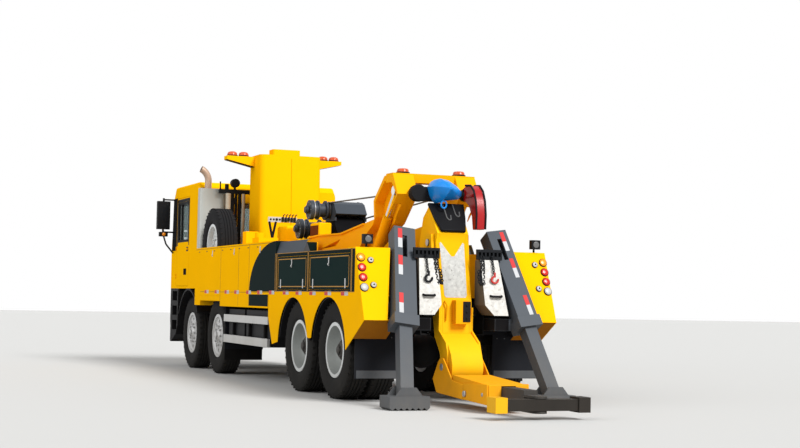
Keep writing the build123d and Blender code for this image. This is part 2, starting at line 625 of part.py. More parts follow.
with BuildPart(datum) as tanks:
    for y in pairs(*tank_y):
        block((2760, 4080), y, (540, 1060))
        block((4180, 5080), y, (560, 1060))
    for y in pairs(rail_y[1] + seat_gap, tank_y[0] + 1):
        for x in (2900, 3900, 4320, 4940):
            block((x - 40, x + 40), y, (880, 1040))
save(tanks, "tanks")

# Chequer plate boxes either side of the mast
box_top, box_foot = (-1120, 1770), (-1315, 1090)
with BuildPart(datum) as boxes:
    for y in pairs(290, 590):
        side_slab([(box_top[0], box_top[1]), (box_foot[0], box_foot[1]), (box_front_x - 100, 1060), (box_front_x, 1160),
                   (box_front_x, box_top[1])], y)
    for side in (1, -1):
        rear_slab([(side * 525, 1800), (side * 620, 1050), (side * 700, 1050), (side * 700, 1800)], (-1400, -800), Mode.SUBTRACT)
save(boxes, "chequer_boxes")

# Racks over the boxes: pierced bars, each with two chains and their hooks, and the boxes' handles
rack_z = (box_top[1] + seat_gap, 1900)
rack_x = (-1110, -1070)
chain_y = (310, 470)
link = (17, 5, 22)
link_pitch = 25.5
hook_outline = [(-9, 62), (9, 62), (9, 30), (34, 18), (44, -4), (38, -32), (14, -50), (-14, -50), (-38, -34),
                (-46, -10), (-40, 4), (-28, -4), (-28, -20), (-10, -32), (10, -32), (24, -18), (26, -2), (14, 10),
                (-9, 14)]
links = 9
lean = (box_top[0] - box_foot[0]) / (box_top[1] - box_foot[1])
with BuildPart(datum) as racks:
    for y in pairs(250, 590):
        block(rack_x, y, rack_z)
        for hole in range(5):
            rod((rack_x[0] - 1, y[0] + 50 + hole * 60, 1850), (rack_x[1] + 1, y[0] + 50 + hole * 60, 1850), 13,
                Mode.SUBTRACT)
    for side in (1, -1):
        for y in chain_y:
            at = side * y
            block((rack_x[0] - 40, rack_x[0] + 1), (at - 12, at + 12), (rack_z[0] + 20, rack_z[0] + 50))
            for n in range(links):
                z = rack_z[0] + 12 - n * link_pitch
                x = min(rack_x[0] - 28, box_top[0] - lean * (box_top[1] - z) - 36)
                thick, wide = (link[1], link[0]) if n % 2 else (link[0], link[1])
                block((x - thick, x + thick), (at - wide, at + wide), (z - link[2], z + link[2]))
                hole = link[0] - 2 * link[1]
                open_x, open_y = (link[0], hole) if n % 2 else (hole, link[0])
                block((x - open_x, x + open_x), (at - open_y, at + open_y),
                      (z - link[2] + 2 * link[1], z + link[2] - 2 * link[1]), Mode.SUBTRACT)
            z -= 60
            x = box_top[0] - lean * (box_top[1] - z) - 32
            rear_slab([(at + y_out, z + z_up) for y_out, z_up in hook_outline], (x - 11, x + 11))
        grip_x = box_foot[0] + lean * (1420 - box_foot[1])
        ends = sorted((side * 410, side * 560))
        rod((grip_x - 40, ends[0], 1420), (grip_x - 40, ends[1], 1420), 12)
        for y in (ends[0] + 16, ends[1] - 16):
            rod((grip_x - 45, y, 1420), (grip_x - 8 * lean - seat_gap, y, 1420), 8)
save(racks, "hook_racks")

# Rear legs: fixed sleeve and sliding leg with its toothed foot
leg_run = Vector(leg_collar[0] - leg_top[0], leg_collar[1] - leg_top[1], leg_collar[2] - leg_top[2])
leg_axis = leg_run.normalized()
foot_top = (leg_collar[2] - 190) / -leg_axis.Z
foot_half_w = 250
teeth = 7


def along_leg(side, distance):
    """A point on a leg's centre line, this far down from its top."""
    return (leg_top[0] + leg_axis.X * distance, side * (leg_top[1] + leg_axis.Y * distance),
            leg_top[2] + leg_axis.Z * distance)


for side, hand in ((1, "left"), (-1, "right")):
    end = along_leg(side, leg_run.length + foot_top)
    tooth = 2 * foot_half_w / teeth
    saw = [(end[1] + foot_half_w, 160)]
    for n in range(teeth):
        right = end[1] + foot_half_w - n * tooth
        saw += [(right, foot_z + 28), (right - tooth / 2, foot_z)]
    saw += [(end[1] - foot_half_w, foot_z + 28), (end[1] - foot_half_w, 160)]
    with BuildPart(datum) as leg:
        beam(along_leg(side, 750), end, leg_w, leg_w)
        rear_slab(saw, (end[0] - 160, end[0] + 160))
        for x in (end[0] - 130, end[0] + 110):
            rear_slab([(end[1] - 170, 159), (end[1] + 170, 159), (end[1] + 90, 260), (end[1] - 90, 260)], (x, x + 20))
    save(leg, f"leg_{hand}")

slot_w = 60
with BuildPart(datum) as sleeves:
    for side in (1, -1):
        top, collar = along_leg(side, 0), along_leg(side, leg_run.length)
        beam(top, collar, sleeve_w, sleeve_w * 0.8)
        beam(along_leg(side, leg_run.length - 130), along_leg(side, leg_run.length + 10), sleeve_w + 40,
             sleeve_w * 0.8 + 40)
        block((-1280, -700), sorted((side * (rail_y[1] + seat_gap), side * (leg_top[1] + 141))), (905, 1050))
        beam(along_leg(side, 120), along_leg(side, 420), slot_w, sleeve_w, Mode.SUBTRACT)
        beam(top, along_leg(side, leg_run.length + 11), leg_w + 2 * seat_gap, leg_w + 2 * seat_gap, Mode.SUBTRACT)
save(sleeves, "leg_sleeves")

# Boom: two channel-sided beams joined by a cross head that straddles the mast
boom_outline = [(-290, 2866), (-473, 2589), (-46, 2236), (839, 1900), (2750, 1850), (3037, 1960), (3037, 2153),
                (2577, 2172), (1587, 2165), (345, 2300), (377, 2546), (3, 2841)]
boom_pocket = [(-230, 2775), (-428, 2584), (-160, 2362), (-110, 2285), (-20, 2180), (120, 2050), (800, 1850),
               (1000, 1850), (600, 2130), (380, 2230), (290, 2330), (320, 2520), (-10, 2775)]
boom_window = [(2477, 1964), (1839, 1989), (1644, 2083)]
# places of the rod's eye in the boom as it swings behind its pin, half way up the lift
eye_path = (cylinder_top, (-302, 2614), (-340, 2590))
rod_relief = [(-391, 2548), (-85, 2170), (40, 2170), (-290, 2590)]
with BuildPart(datum) as boom:
    for y in pairs(*boom_y):
        side_slab(boom_outline, y)
    for y in pairs(boom_web_y[1], boom_y[1] + 1):
        side_slab(boom_pocket, y, Mode.SUBTRACT)
    for y in pairs(cylinder_y - rod_eye_half_w - move_gap, cylinder_y + rod_eye_half_w + move_gap):
        side_slab(rod_relief, y, Mode.SUBTRACT)
        for x, z in eye_path:
            cross_rod(x, y, z, rod_eye_r + move_gap, Mode.SUBTRACT)
    for y in pairs(boom_y[1] - 70, boom_y[1] + 1):
        side_slab(boom_window, y, Mode.SUBTRACT)
    for y in pairs(boom_y[1] - 1, boom_y[1] + 25):
        side_slab([(3037, 2153), (2577, 2172), (1587, 2165), (700, 2262), (700, 2240), (1587, 2143), (2577, 2150),
                   (3037, 2131)], y)
    block((-300, -60), (-boom_y[1], boom_y[1]), (2750, 2866))
    cross_rod(boom_pivot[0], (-boom_y[1], boom_y[1]), boom_pivot[1], 60)
    for y in (-head_axis[0], head_axis[0]):
        rod((-250, y, head_axis[1]), (head_face_x + seat_gap, y, head_axis[1]), 52)
        rod((-440, y, head_axis[1]), (head_face_x + seat_gap, y, head_axis[1]), 61)
save(boom, "boom")

# Winches on the heel of the boom: drums between flanges, a motor at the left end, a sloped cover over both
# columns: distance ahead, height, flange radius, right end
winch_table = ((3100, 2560, 145, -222), (3600, 2300, 150, -305))
with BuildPart(datum) as winches:
    for x, z, radius, low in winch_table:
        cross_rod(x, (low, 560), z, radius * 0.7)
        for y in ((low, low + 20), (low + 520, low + 540), (420, 440), (500, 560)):
            cross_rod(x, y, z, radius)
        cross_rod(x, (440, 500), z, radius * 0.85)
        cross_rod(x, (560, 622), z, 46)
        cross_rod(x, (578, 604), z, 60)
    side_slab([(2700, 2180), (3750, 2180), (3750, 2240), (3100, 2440), (2900, 2440)], (-240, 240))
    for y in pairs(228, 242):
        side_slab([(2860, 2440), (3250, 2420), (3260, 2560), (3160, 2700), (2900, 2640), (2790, 2520)], y)
    for y in (-244, 228):
        side_slab([(2800, 2400), (3250, 2400), (3250, 2450), (2800, 2450)], (y, y + 16))
    side_slab([(2775, 2505), (2893, 2652), (3000, 2692), (3010, 2670), (2905, 2628), (2796, 2492)], (-240, 240))
    side_slab([(2650, 2015), (3040, 2015), (3750, 2080), (3750, 2200), (2650, 2200)],
              (seat_gap - boom_y[0], boom_y[0] - seat_gap))
save(winches, "winches")

with BuildPart(datum) as ropes:
    rod((3100, rope_y, 2672.8), (head_face_x + 0.9, rope_y, 2640), 11)
    rod((3600, -rope_y, 2416.3), (head_face_x + 0.9, -rope_y, 2640), 11)
save(ropes, "ropes")

# Lift cylinders in the boom's outer channels
reach = hypot(cylinder_top[0] - cylinder_foot[0], cylinder_top[1] - cylinder_foot[1])
along = ((cylinder_top[0] - cylinder_foot[0]) / reach, (cylinder_top[1] - cylinder_foot[1]) / reach)
barrel_end = reach - rod_show
with BuildPart(datum) as barrels:
    for y in (-cylinder_y, cylinder_y):
        cross_rod(cylinder_foot[0], (y - 45, y + 45), cylinder_foot[1], 70)
        rod((cylinder_foot[0], y, cylinder_foot[1]),
            (cylinder_foot[0] + along[0] * 150, y, cylinder_foot[1] + along[1] * 150), 42)
        rod((cylinder_foot[0] + along[0] * 135, y, cylinder_foot[1] + along[1] * 135),
            (cylinder_foot[0] + along[0] * barrel_end, y, cylinder_foot[1] + along[1] * barrel_end), cylinder_r)
        rod((cylinder_foot[0] + along[0] * 160, y, cylinder_foot[1] + along[1] * 160),
            (cylinder_foot[0] + along[0] * (barrel_end + 1), y, cylinder_foot[1] + along[1] * (barrel_end + 1)),
            cylinder_rod_r + seat_gap, Mode.SUBTRACT)
save(barrels, "lift_barrels")

with BuildPart(datum) as rods:
    for y in (-cylinder_y, cylinder_y):
        cross_rod(cylinder_top[0], (y - rod_eye_half_w, y + rod_eye_half_w), cylinder_top[1], rod_eye_r)
        rod((cylinder_foot[0] + along[0] * 170, y, cylinder_foot[1] + along[1] * 170),
            (cylinder_top[0], y, cylinder_top[1]), cylinder_rod_r)
save(rods, "lift_rods")

# Rope heads at the boom tip: a sheave housing that swivels about the rope, one turned inwards, one hanging
head_half = 65
elbow = [(head_face_x, 70), (head_face_x, -90), (-700, -90), (-880, -200), (-905, -450), (-1140, -450),
         (-1126, -90), (-1030, 110), (-900, 150), (-640, 110)]
for hand, side, swing in (("left", 1, 75), ("right", -1, 0)):
    centre = Vector(datum_x, side * head_axis[0], head_axis[1])
    face = Plane(centre, x_dir=(1, 0, 0), z_dir=(0, -1, 0)).rotated((-swing, 0, 0))
    with BuildPart() as head:
        with BuildSketch(face) as profile:
            with BuildLine():
                Polyline(*elbow, close=True)
            make_face()
        extrude(profile.sketch, amount=head_half, both=True)
        with BuildSketch(face) as ribs:
            with BuildLine():
                Polyline((-1126, -90), (-1030, 110), (-900, 150), (-640, 110), (-700, 20), (-900, 20), (-1010, -90),
                         close=True)
            make_face()
        extrude(ribs.sketch, amount=head_half + 22, both=True)
    save(head, f"rope_head_{hand}")

# Underlift mast
mast_outline = [(-658, 2449), (-928, 2093), (-886, 1986), (-1051, 1267), (-1070, 866), (-1304, 729),
                (-1400, 402), (-1250, 330), (-1110, 330), (-1060, 620), (-900, 800), (-780, 1250), (-347, 1966),
                (-461, 2301)]
hose_cover = [(150, 2010), (275, 2440), (-275, 2440), (-150, 2010)]
with BuildPart(datum) as mast:
    side_slab(mast_outline, (-mast_half_w, mast_half_w))
    block((-1420, -1080), (-mast_half_w + 30, mast_half_w - 30), (300, 780), Mode.SUBTRACT)
    side_slab([(-760, 2500), (-760, 2180), (-560, 2180), (-560, 2500)], (30 - mast_half_w, mast_half_w - 30),
              Mode.SUBTRACT)
    rear_slab(hose_cover, (-700, -600))
    cross_rod(stinger_pin[0], (-mast_half_w, mast_half_w), stinger_pin[1], 30)
    cross_rod(mast_pivot[0], (-mast_half_w - 55, mast_half_w + 55), mast_pivot[1], 45)
    for y in pairs(mast_half_w - 1, mast_half_w + 34):
        cross_rod(stinger_pin[0], y, stinger_pin[1], 62)
    block((-1170, -1050), (-140, 76), (980, 1270))
    for y in pairs(mast_half_w - 1, mast_half_w + 20):
        side_slab([(-1070, 1180), (-1062, 900), (-1290, 740), (-1385, 420), (-1330, 400), (-1240, 700), (-1010, 860),
                   (-1010, 1180)], y)
save(mast, "underlift_mast")

slide_end_x = crossbar_x + 205
fork_plate_t = 25
box_z = (175, 305)
with BuildPart(datum) as stinger:
    side_slab([(-1190, 400), (-1200, 500), (-1240, 530), (-1300, 520), (-1400, 440), (-2400, 330), (-2400, 150),
               (-1250, 200)], (-stinger_half_w, stinger_half_w))
    for y in pairs(stinger_half_w - 1, stinger_half_w + 25):
        side_slab([(-1900, 330), (-2150, 305), (-2150, 150), (-1980, 130), (-1900, 170)], y)
        cross_rod(-2030, (y[0], y[1] + 12) if y[0] > 0 else (y[0] - 12, y[1]), 190, 34)
    cross_rod(stinger_pin[0], (-180, 180), stinger_pin[1], 30 + seat_gap, Mode.SUBTRACT)
    block((-2420, -1700), (-stinger_box_y, stinger_box_y), (box_z[0] - seat_gap, box_z[1] + move_gap), Mode.SUBTRACT)
save(stinger, "stinger")

# Inner box, which ends in two fork plates and the pin of the crossbar
with BuildPart(datum) as inner:
    y = (-stinger_box_y + move_gap, stinger_box_y - move_gap)
    block((slide_end_x, -1710), y, box_z)
    plates = ((crossbar_z[0] - move_gap - fork_plate_t, crossbar_z[0] - move_gap),
              (crossbar_z[1] + move_gap, crossbar_z[1] + move_gap + fork_plate_t))
    block((slide_end_x, slide_end_x + 50), y, (plates[0][0], box_z[1]))
    for z in plates:
        block((crossbar_x, slide_end_x + 1), y, z)
        rod((crossbar_x, 0, z[0]), (crossbar_x, 0, z[1]), y[1])
    rod((crossbar_x, 0, plates[0][0]), (crossbar_x, 0, plates[1][1]), crossbar_pin_r)
save(inner, "stinger_slide")

# Crossbar on its pin, with a fork receiver and an upright fork at each end
with BuildPart(datum) as crossbar:
    block((crossbar_x - 90, crossbar_x + 90), (-crossbar_half_w, crossbar_half_w), crossbar_z)
    for y in pairs(fork_y - 70, fork_y + 70):
        block((crossbar_x - 110, crossbar_x + 110), y, (crossbar_z[0] - 20, crossbar_z[1] + 20))
    rod((crossbar_x, 0, crossbar_z[0] - 1), (crossbar_x, 0, crossbar_z[1] + 1), crossbar_pin_r + seat_gap, Mode.SUBTRACT)
    for y in (-fork_y, fork_y):
        rod((crossbar_x, y, crossbar_z[0] - 21), (crossbar_x, y, crossbar_z[1] + 21), fork_bore_r, Mode.SUBTRACT)
save(crossbar, "crossbar")
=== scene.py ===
import math

import bmesh
import bpy
from mathutils import Matrix, Vector


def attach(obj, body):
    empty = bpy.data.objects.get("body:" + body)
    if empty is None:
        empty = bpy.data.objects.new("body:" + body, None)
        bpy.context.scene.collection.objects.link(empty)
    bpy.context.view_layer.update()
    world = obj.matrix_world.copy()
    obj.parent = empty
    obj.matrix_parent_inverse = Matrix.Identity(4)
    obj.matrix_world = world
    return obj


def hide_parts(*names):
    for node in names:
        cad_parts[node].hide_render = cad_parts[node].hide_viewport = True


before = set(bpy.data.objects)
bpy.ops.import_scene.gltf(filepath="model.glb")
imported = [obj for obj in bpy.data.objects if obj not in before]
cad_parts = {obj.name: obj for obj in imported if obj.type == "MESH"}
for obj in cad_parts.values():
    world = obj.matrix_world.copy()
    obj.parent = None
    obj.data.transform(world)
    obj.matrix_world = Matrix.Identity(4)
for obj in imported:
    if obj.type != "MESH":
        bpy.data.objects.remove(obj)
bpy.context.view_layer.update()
print("frame loaded,", len(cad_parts), "nodes")

# Lengths are in metres. Places along the truck are measured ahead of the rearmost axle, as in the source,
# and datumX brings them into the shared frame.
datumX = -2.8575
halfWidth = 1.275
sides = ((1, "left"), (-1, "right"))


def at(x, y, z):
    return Vector((x + datumX, y, z))


# Camera, as the photograph was taken, from low behind the left rear corner
camera = {"place": (-17.47, 7.296, 1.274), "yaw": -0.379, "pitch": 0.051, "roll": 0.020, "lens": 65.85,
          "sensor": 36, "reach": 400}


def makeCamera(look):
    yaw, pitch, roll = look["yaw"], look["pitch"], look["roll"]
    ahead = Vector((math.cos(pitch) * math.cos(yaw), math.cos(pitch) * math.sin(yaw), math.sin(pitch)))
    level = ahead.cross(Vector((0, 0, 1))).normalized()
    upright = level.cross(ahead)
    across = math.cos(roll) * level + math.sin(roll) * upright
    upward = -math.sin(roll) * level + math.cos(roll) * upright
    data = bpy.data.cameras.new("viewCamera")
    data.lens, data.sensor_width, data.clip_end = look["lens"], look["sensor"], look["reach"]
    eye = bpy.data.objects.new("viewCamera", data)
    eye.matrix_world = Matrix.Translation(at(*look["place"])) @ Matrix((across, upward, -ahead)).transposed().to_4x4()
    bpy.context.scene.collection.objects.link(eye)
    bpy.context.scene.camera = eye


makeCamera(camera)

# Node code that the studio, the finishes and the trees share
def node(tree, kind, links=(), **settings):
    made = tree.nodes.new(kind)
    for key, value in settings.items():
        setattr(made, key, value)
    for socket, source in links:
        target = made.inputs[socket]
        if isinstance(source, bpy.types.NodeSocket):
            tree.links.new(source, target)
        else:
            target.default_value = source
    return made


def mathNode(tree, operation, a, b=0.0, clamp=False):
    return node(tree, "ShaderNodeMath", ((0, a), (1, b)), operation=operation, use_clamp=clamp).outputs[0]


def mixColour(tree, factor, a, b, blend="MIX"):
    return node(tree, "ShaderNodeMix", (("Factor", factor), (6, a), (7, b)), data_type="RGBA",
                blend_type=blend).outputs[2]


def objectPlace(tree):
    return node(tree, "ShaderNodeTexCoord").outputs["Object"]


def noise(tree, place, scale, detail, roughness=0.5):
    return node(tree, "ShaderNodeTexNoise", (("Vector", place), ("Scale", scale), ("Detail", detail),
                                             ("Roughness", roughness))).outputs["Fac"]


# Studio: a pale floor, a white surround for the camera, one broad key lamp behind the camera and a soft fill
studio = {"floorSize": 160, "floorDrop": 0.001, "floorColour": (0.52, 0.52, 0.51), "floorRoughness": 0.9,
          "surround": 0.44, "keyTilt": (50, 0, -70), "keyPower": 3.9, "keySpread": 24,
          "fillTilt": (58, 0, -165), "fillPower": 1.25, "fillSpread": 60}


def whiteForCamera(tree, shade):
    path = node(tree, "ShaderNodeLightPath").outputs
    seen = mathNode(tree, "MAXIMUM", path["Is Camera Ray"], path["Is Glossy Ray"])
    both = mathNode(tree, "MAXIMUM", seen, path["Is Transmission Ray"])
    return mixColour(tree, both, (shade, shade, shade, 1), (1, 1, 1, 1))


def makeStudio(look):
    world = bpy.data.worlds.new("surround")
    world.use_nodes = True
    background = world.node_tree.nodes["Background"]
    world.node_tree.links.new(whiteForCamera(world.node_tree, look["surround"]), background.inputs["Color"])
    bpy.context.scene.world = world
    for name in ("key", "fill"):
        lamp = bpy.data.lights.new(name, "SUN")
        lamp.energy, lamp.angle = look[name + "Power"], math.radians(look[name + "Spread"])
        holder = bpy.data.objects.new(name, lamp)
        holder.rotation_euler = [math.radians(a) for a in look[name + "Tilt"]]
        bpy.context.scene.collection.objects.link(holder)
    half, low = look["floorSize"] / 2, -look["floorDrop"]
    plane = bpy.data.meshes.new("floor")
    plane.from_pydata([(-half, -half, low), (half, -half, low), (half, half, low), (-half, half, low)],
                      [], [(0, 1, 2, 3)])
    floor = bpy.data.objects.new("floor", plane)
    bpy.context.scene.collection.objects.link(floor)
    material = bpy.data.materials.new("floorPale")
    material.use_nodes = True
    shader = material.node_tree.nodes["Principled BSDF"]
    shader.inputs["Base Color"].default_value = (*look["floorColour"], 1)
    shader.inputs["Roughness"].default_value = look["floorRoughness"]
    plane.materials.append(material)
    bpy.context.scene.view_settings.view_transform = "Standard"


makeStudio(studio)
print("camera and studio made")


# Shader groups that several finishes share
def makeGroup(name, inputs, outputs):
    tree = bpy.data.node_groups.new(name, "ShaderNodeTree")
    for label, kind, value in inputs:
        socket = tree.interface.new_socket(label, in_out="INPUT", socket_type=kind)
        socket.default_value = value
    for label, kind in outputs:
        tree.interface.new_socket(label, in_out="OUTPUT", socket_type=kind)
    return tree, tree.nodes.new("NodeGroupInput"), tree.nodes.new("NodeGroupOutput")


floatSocket, colourSocket, vectorSocket = "NodeSocketFloat", "NodeSocketColor", "NodeSocketVector"


def mottleGroup():
    tree, given, out = makeGroup("mottle", (("Colour", colourSocket, (0.5, 0.5, 0.5, 1)), ("Scale", floatSocket, 3.0),
                                            ("Amount", floatSocket, 0.1)), (("Colour", colourSocket),))
    place = objectPlace(tree)
    cloud, fine = noise(tree, place, given.outputs["Scale"], 5.0), noise(tree, place, 47.0, 2.0)
    both = mathNode(tree, "ADD", cloud, mathNode(tree, "MULTIPLY", fine, 0.3))
    swing = mathNode(tree, "MULTIPLY", mathNode(tree, "SUBTRACT", both, 0.65), given.outputs["Amount"])
    level = mathNode(tree, "ADD", 1.0, mathNode(tree, "MULTIPLY", swing, 2.0))
    shade = node(tree, "ShaderNodeCombineColor", (("Red", level), ("Green", level), ("Blue", level)))
    tree.links.new(mixColour(tree, 1.0, given.outputs["Colour"], shade.outputs["Color"], "MULTIPLY"),
                   out.inputs["Colour"])
    return tree


def grimeGroup():
    tree, given, out = makeGroup("grime", (("Height", floatSocket, 1.0), ("Amount", floatSocket, 0.5),
                                           ("Scale", floatSocket, 2.5)), (("Mask", floatSocket),))
    place = objectPlace(tree)
    upright = node(tree, "ShaderNodeSeparateXYZ", (("Vector", place),)).outputs["Z"]
    drawn = node(tree, "ShaderNodeVectorMath", ((0, place), (1, (1.0, 1.0, 0.25))), operation="MULTIPLY")
    streak, cloud = noise(tree, drawn.outputs[0], 9.0, 4.0), noise(tree, place, given.outputs["Scale"], 6.0)
    low = mathNode(tree, "SUBTRACT", 1.0, mathNode(tree, "DIVIDE", upright, given.outputs["Height"]), clamp=True)
    patch = mathNode(tree, "MULTIPLY", mathNode(tree, "ADD", cloud, streak), 0.9)
    soft = mathNode(tree, "MULTIPLY", mathNode(tree, "POWER", low, 1.3), patch)
    speck = mathNode(tree, "MULTIPLY", mathNode(tree, "SUBTRACT", cloud, 0.58, clamp=True), 0.8)
    mask = mathNode(tree, "MULTIPLY", mathNode(tree, "ADD", soft, speck), given.outputs["Amount"], clamp=True)
    tree.links.new(mask, out.inputs["Mask"])
    return tree


def scuffGroup():
    tree, given, out = makeGroup("scuff", (("Scale", floatSocket, 14.0), ("Cover", floatSocket, 0.3)),
                                 (("Mask", floatSocket),))
    place = objectPlace(tree)
    coarse = noise(tree, place, given.outputs["Scale"], 8.0, 0.7)
    edge = mathNode(tree, "SUBTRACT", 0.78, mathNode(tree, "MULTIPLY", given.outputs["Cover"], 0.3))
    mask = mathNode(tree, "MULTIPLY", mathNode(tree, "SUBTRACT", coarse, edge), 14.0, clamp=True)
    tree.links.new(mask, out.inputs["Mask"])
    return tree


def grainGroup():
    tree, given, out = makeGroup("grain", (("Scale", floatSocket, 120.0), ("Stretch", vectorSocket, (1, 1, 1))),
                                 (("Height", floatSocket),))
    place = objectPlace(tree)
    drawn = node(tree, "ShaderNodeVectorMath", ((0, place), (1, given.outputs["Stretch"])), operation="MULTIPLY")
    tree.links.new(noise(tree, drawn.outputs[0], given.outputs["Scale"], 3.0), out.inputs["Height"])
    return tree


shared = {"mottle": mottleGroup(), "grime": grimeGroup(), "scuff": scuffGroup(), "grain": grainGroup()}
finishes = {}


def useGroup(tree, name, **values):
    return node(tree, "ShaderNodeGroup", values.items(), node_tree=shared[name]).outputs


def rgba(colour):
    return (*colour, 1)


# What a finish has where its own line doesn't say otherwise
plainLook = {"mottle": 0.12, "mottleScale": 1.7, "roughness": 0.5, "metallic": 0, "specular": 0.4, "coat": 0.0,
             "coatRoughness": 0.12, "scuff": 0, "scuffScale": 14.0, "scuffColour": (0.2, 0.19, 0.18), "dirt": 0.3,
             "dirtHeight": 1.6, "dirtScale": 2.5, "dirtColour": (0.21, 0.18, 0.14), "dirtDulls": 0.6,
             "grain": 0, "grainScale": 120.0, "grainDepth": 0.002, "stretch": (1, 1, 1)}


def beyondPlane(tree, axis, edge):
    place = objectPlace(tree)
    along = node(tree, "ShaderNodeSeparateXYZ", (("Vector", place),)).outputs[axis]
    return mathNode(tree, "GREATER_THAN", along, edge)


def makeFinish(name, given):
    look = {**plainLook, **given}
    material = bpy.data.materials.new(name)
    material.use_nodes = True
    tree = material.node_tree
    shader = tree.nodes["Principled BSDF"]
    base = useGroup(tree, "mottle", Colour=rgba(look["colour"]), Scale=look["mottleScale"],
                    Amount=look["mottle"])["Colour"]
    if "upperColour" in look:
        base = mixColour(tree, beyondPlane(tree, "Z", look["upperFrom"]), base, rgba(look["upperColour"]))
    if "sideColour" in look:
        base = mixColour(tree, beyondPlane(tree, "Y", look["sideFrom"]), base, rgba(look["sideColour"]))
    if look["scuff"]:
        scuffed = useGroup(tree, "scuff", Scale=look["scuffScale"], Cover=look["scuff"])["Mask"]
        base = mixColour(tree, scuffed, base, rgba(look["scuffColour"]))
    dirt = useGroup(tree, "grime", Height=look["dirtHeight"], Amount=look["dirt"], Scale=look["dirtScale"])["Mask"]
    base = mixColour(tree, dirt, base, rgba(look["dirtColour"]))
    tree.links.new(base, shader.inputs["Base Color"])
    dull = mathNode(tree, "ADD", look["roughness"], mathNode(tree, "MULTIPLY", dirt, look["dirtDulls"]), clamp=True)
    tree.links.new(dull, shader.inputs["Roughness"])
    if look["metallic"]:
        tree.links.new(mathNode(tree, "MULTIPLY", look["metallic"], mathNode(tree, "SUBTRACT", 1.0, dirt)),
                       shader.inputs["Metallic"])
    shader.inputs["Specular IOR Level"].default_value = look["specular"]
    shader.inputs["Coat Weight"].default_value = look["coat"]
    shader.inputs["Coat Roughness"].default_value = look["coatRoughness"]
    if look["grain"]:
        height = useGroup(tree, "grain", Scale=look["grainScale"], Stretch=look["stretch"])
        bump = node(tree, "ShaderNodeBump", (("Height", height["Height"]), ("Strength", look["grain"]),
                                             ("Distance", look["grainDepth"])))
        tree.links.new(bump.outputs["Normal"], shader.inputs["Normal"])
    finishes[name] = material


glazing = {"colour": (0.50, 0.58, 0.57), "roughness": 0.03, "transmission": 0.85, "ior": 1.45,
           "tint": {"Scale": 0.8, "Amount": 0.05}, "haze": {"Height": 3.4, "Amount": 0.12, "Scale": 3.0}}


def makeGlass(name, look):
    material = bpy.data.materials.new(name)
    material.use_nodes = True
    tree = material.node_tree
    shader = tree.nodes["Principled BSDF"]
    tint = useGroup(tree, "mottle", Colour=rgba(look["colour"]), **look["tint"])["Colour"]
    tree.links.new(tint, shader.inputs["Base Color"])
    haze = useGroup(tree, "grime", **look["haze"])["Mask"]
    tree.links.new(mathNode(tree, "ADD", look["roughness"], haze, clamp=True), shader.inputs["Roughness"])
    shader.inputs["Transmission Weight"].default_value = look["transmission"]
    shader.inputs["IOR"].default_value = look["ior"]
    finishes[name] = material


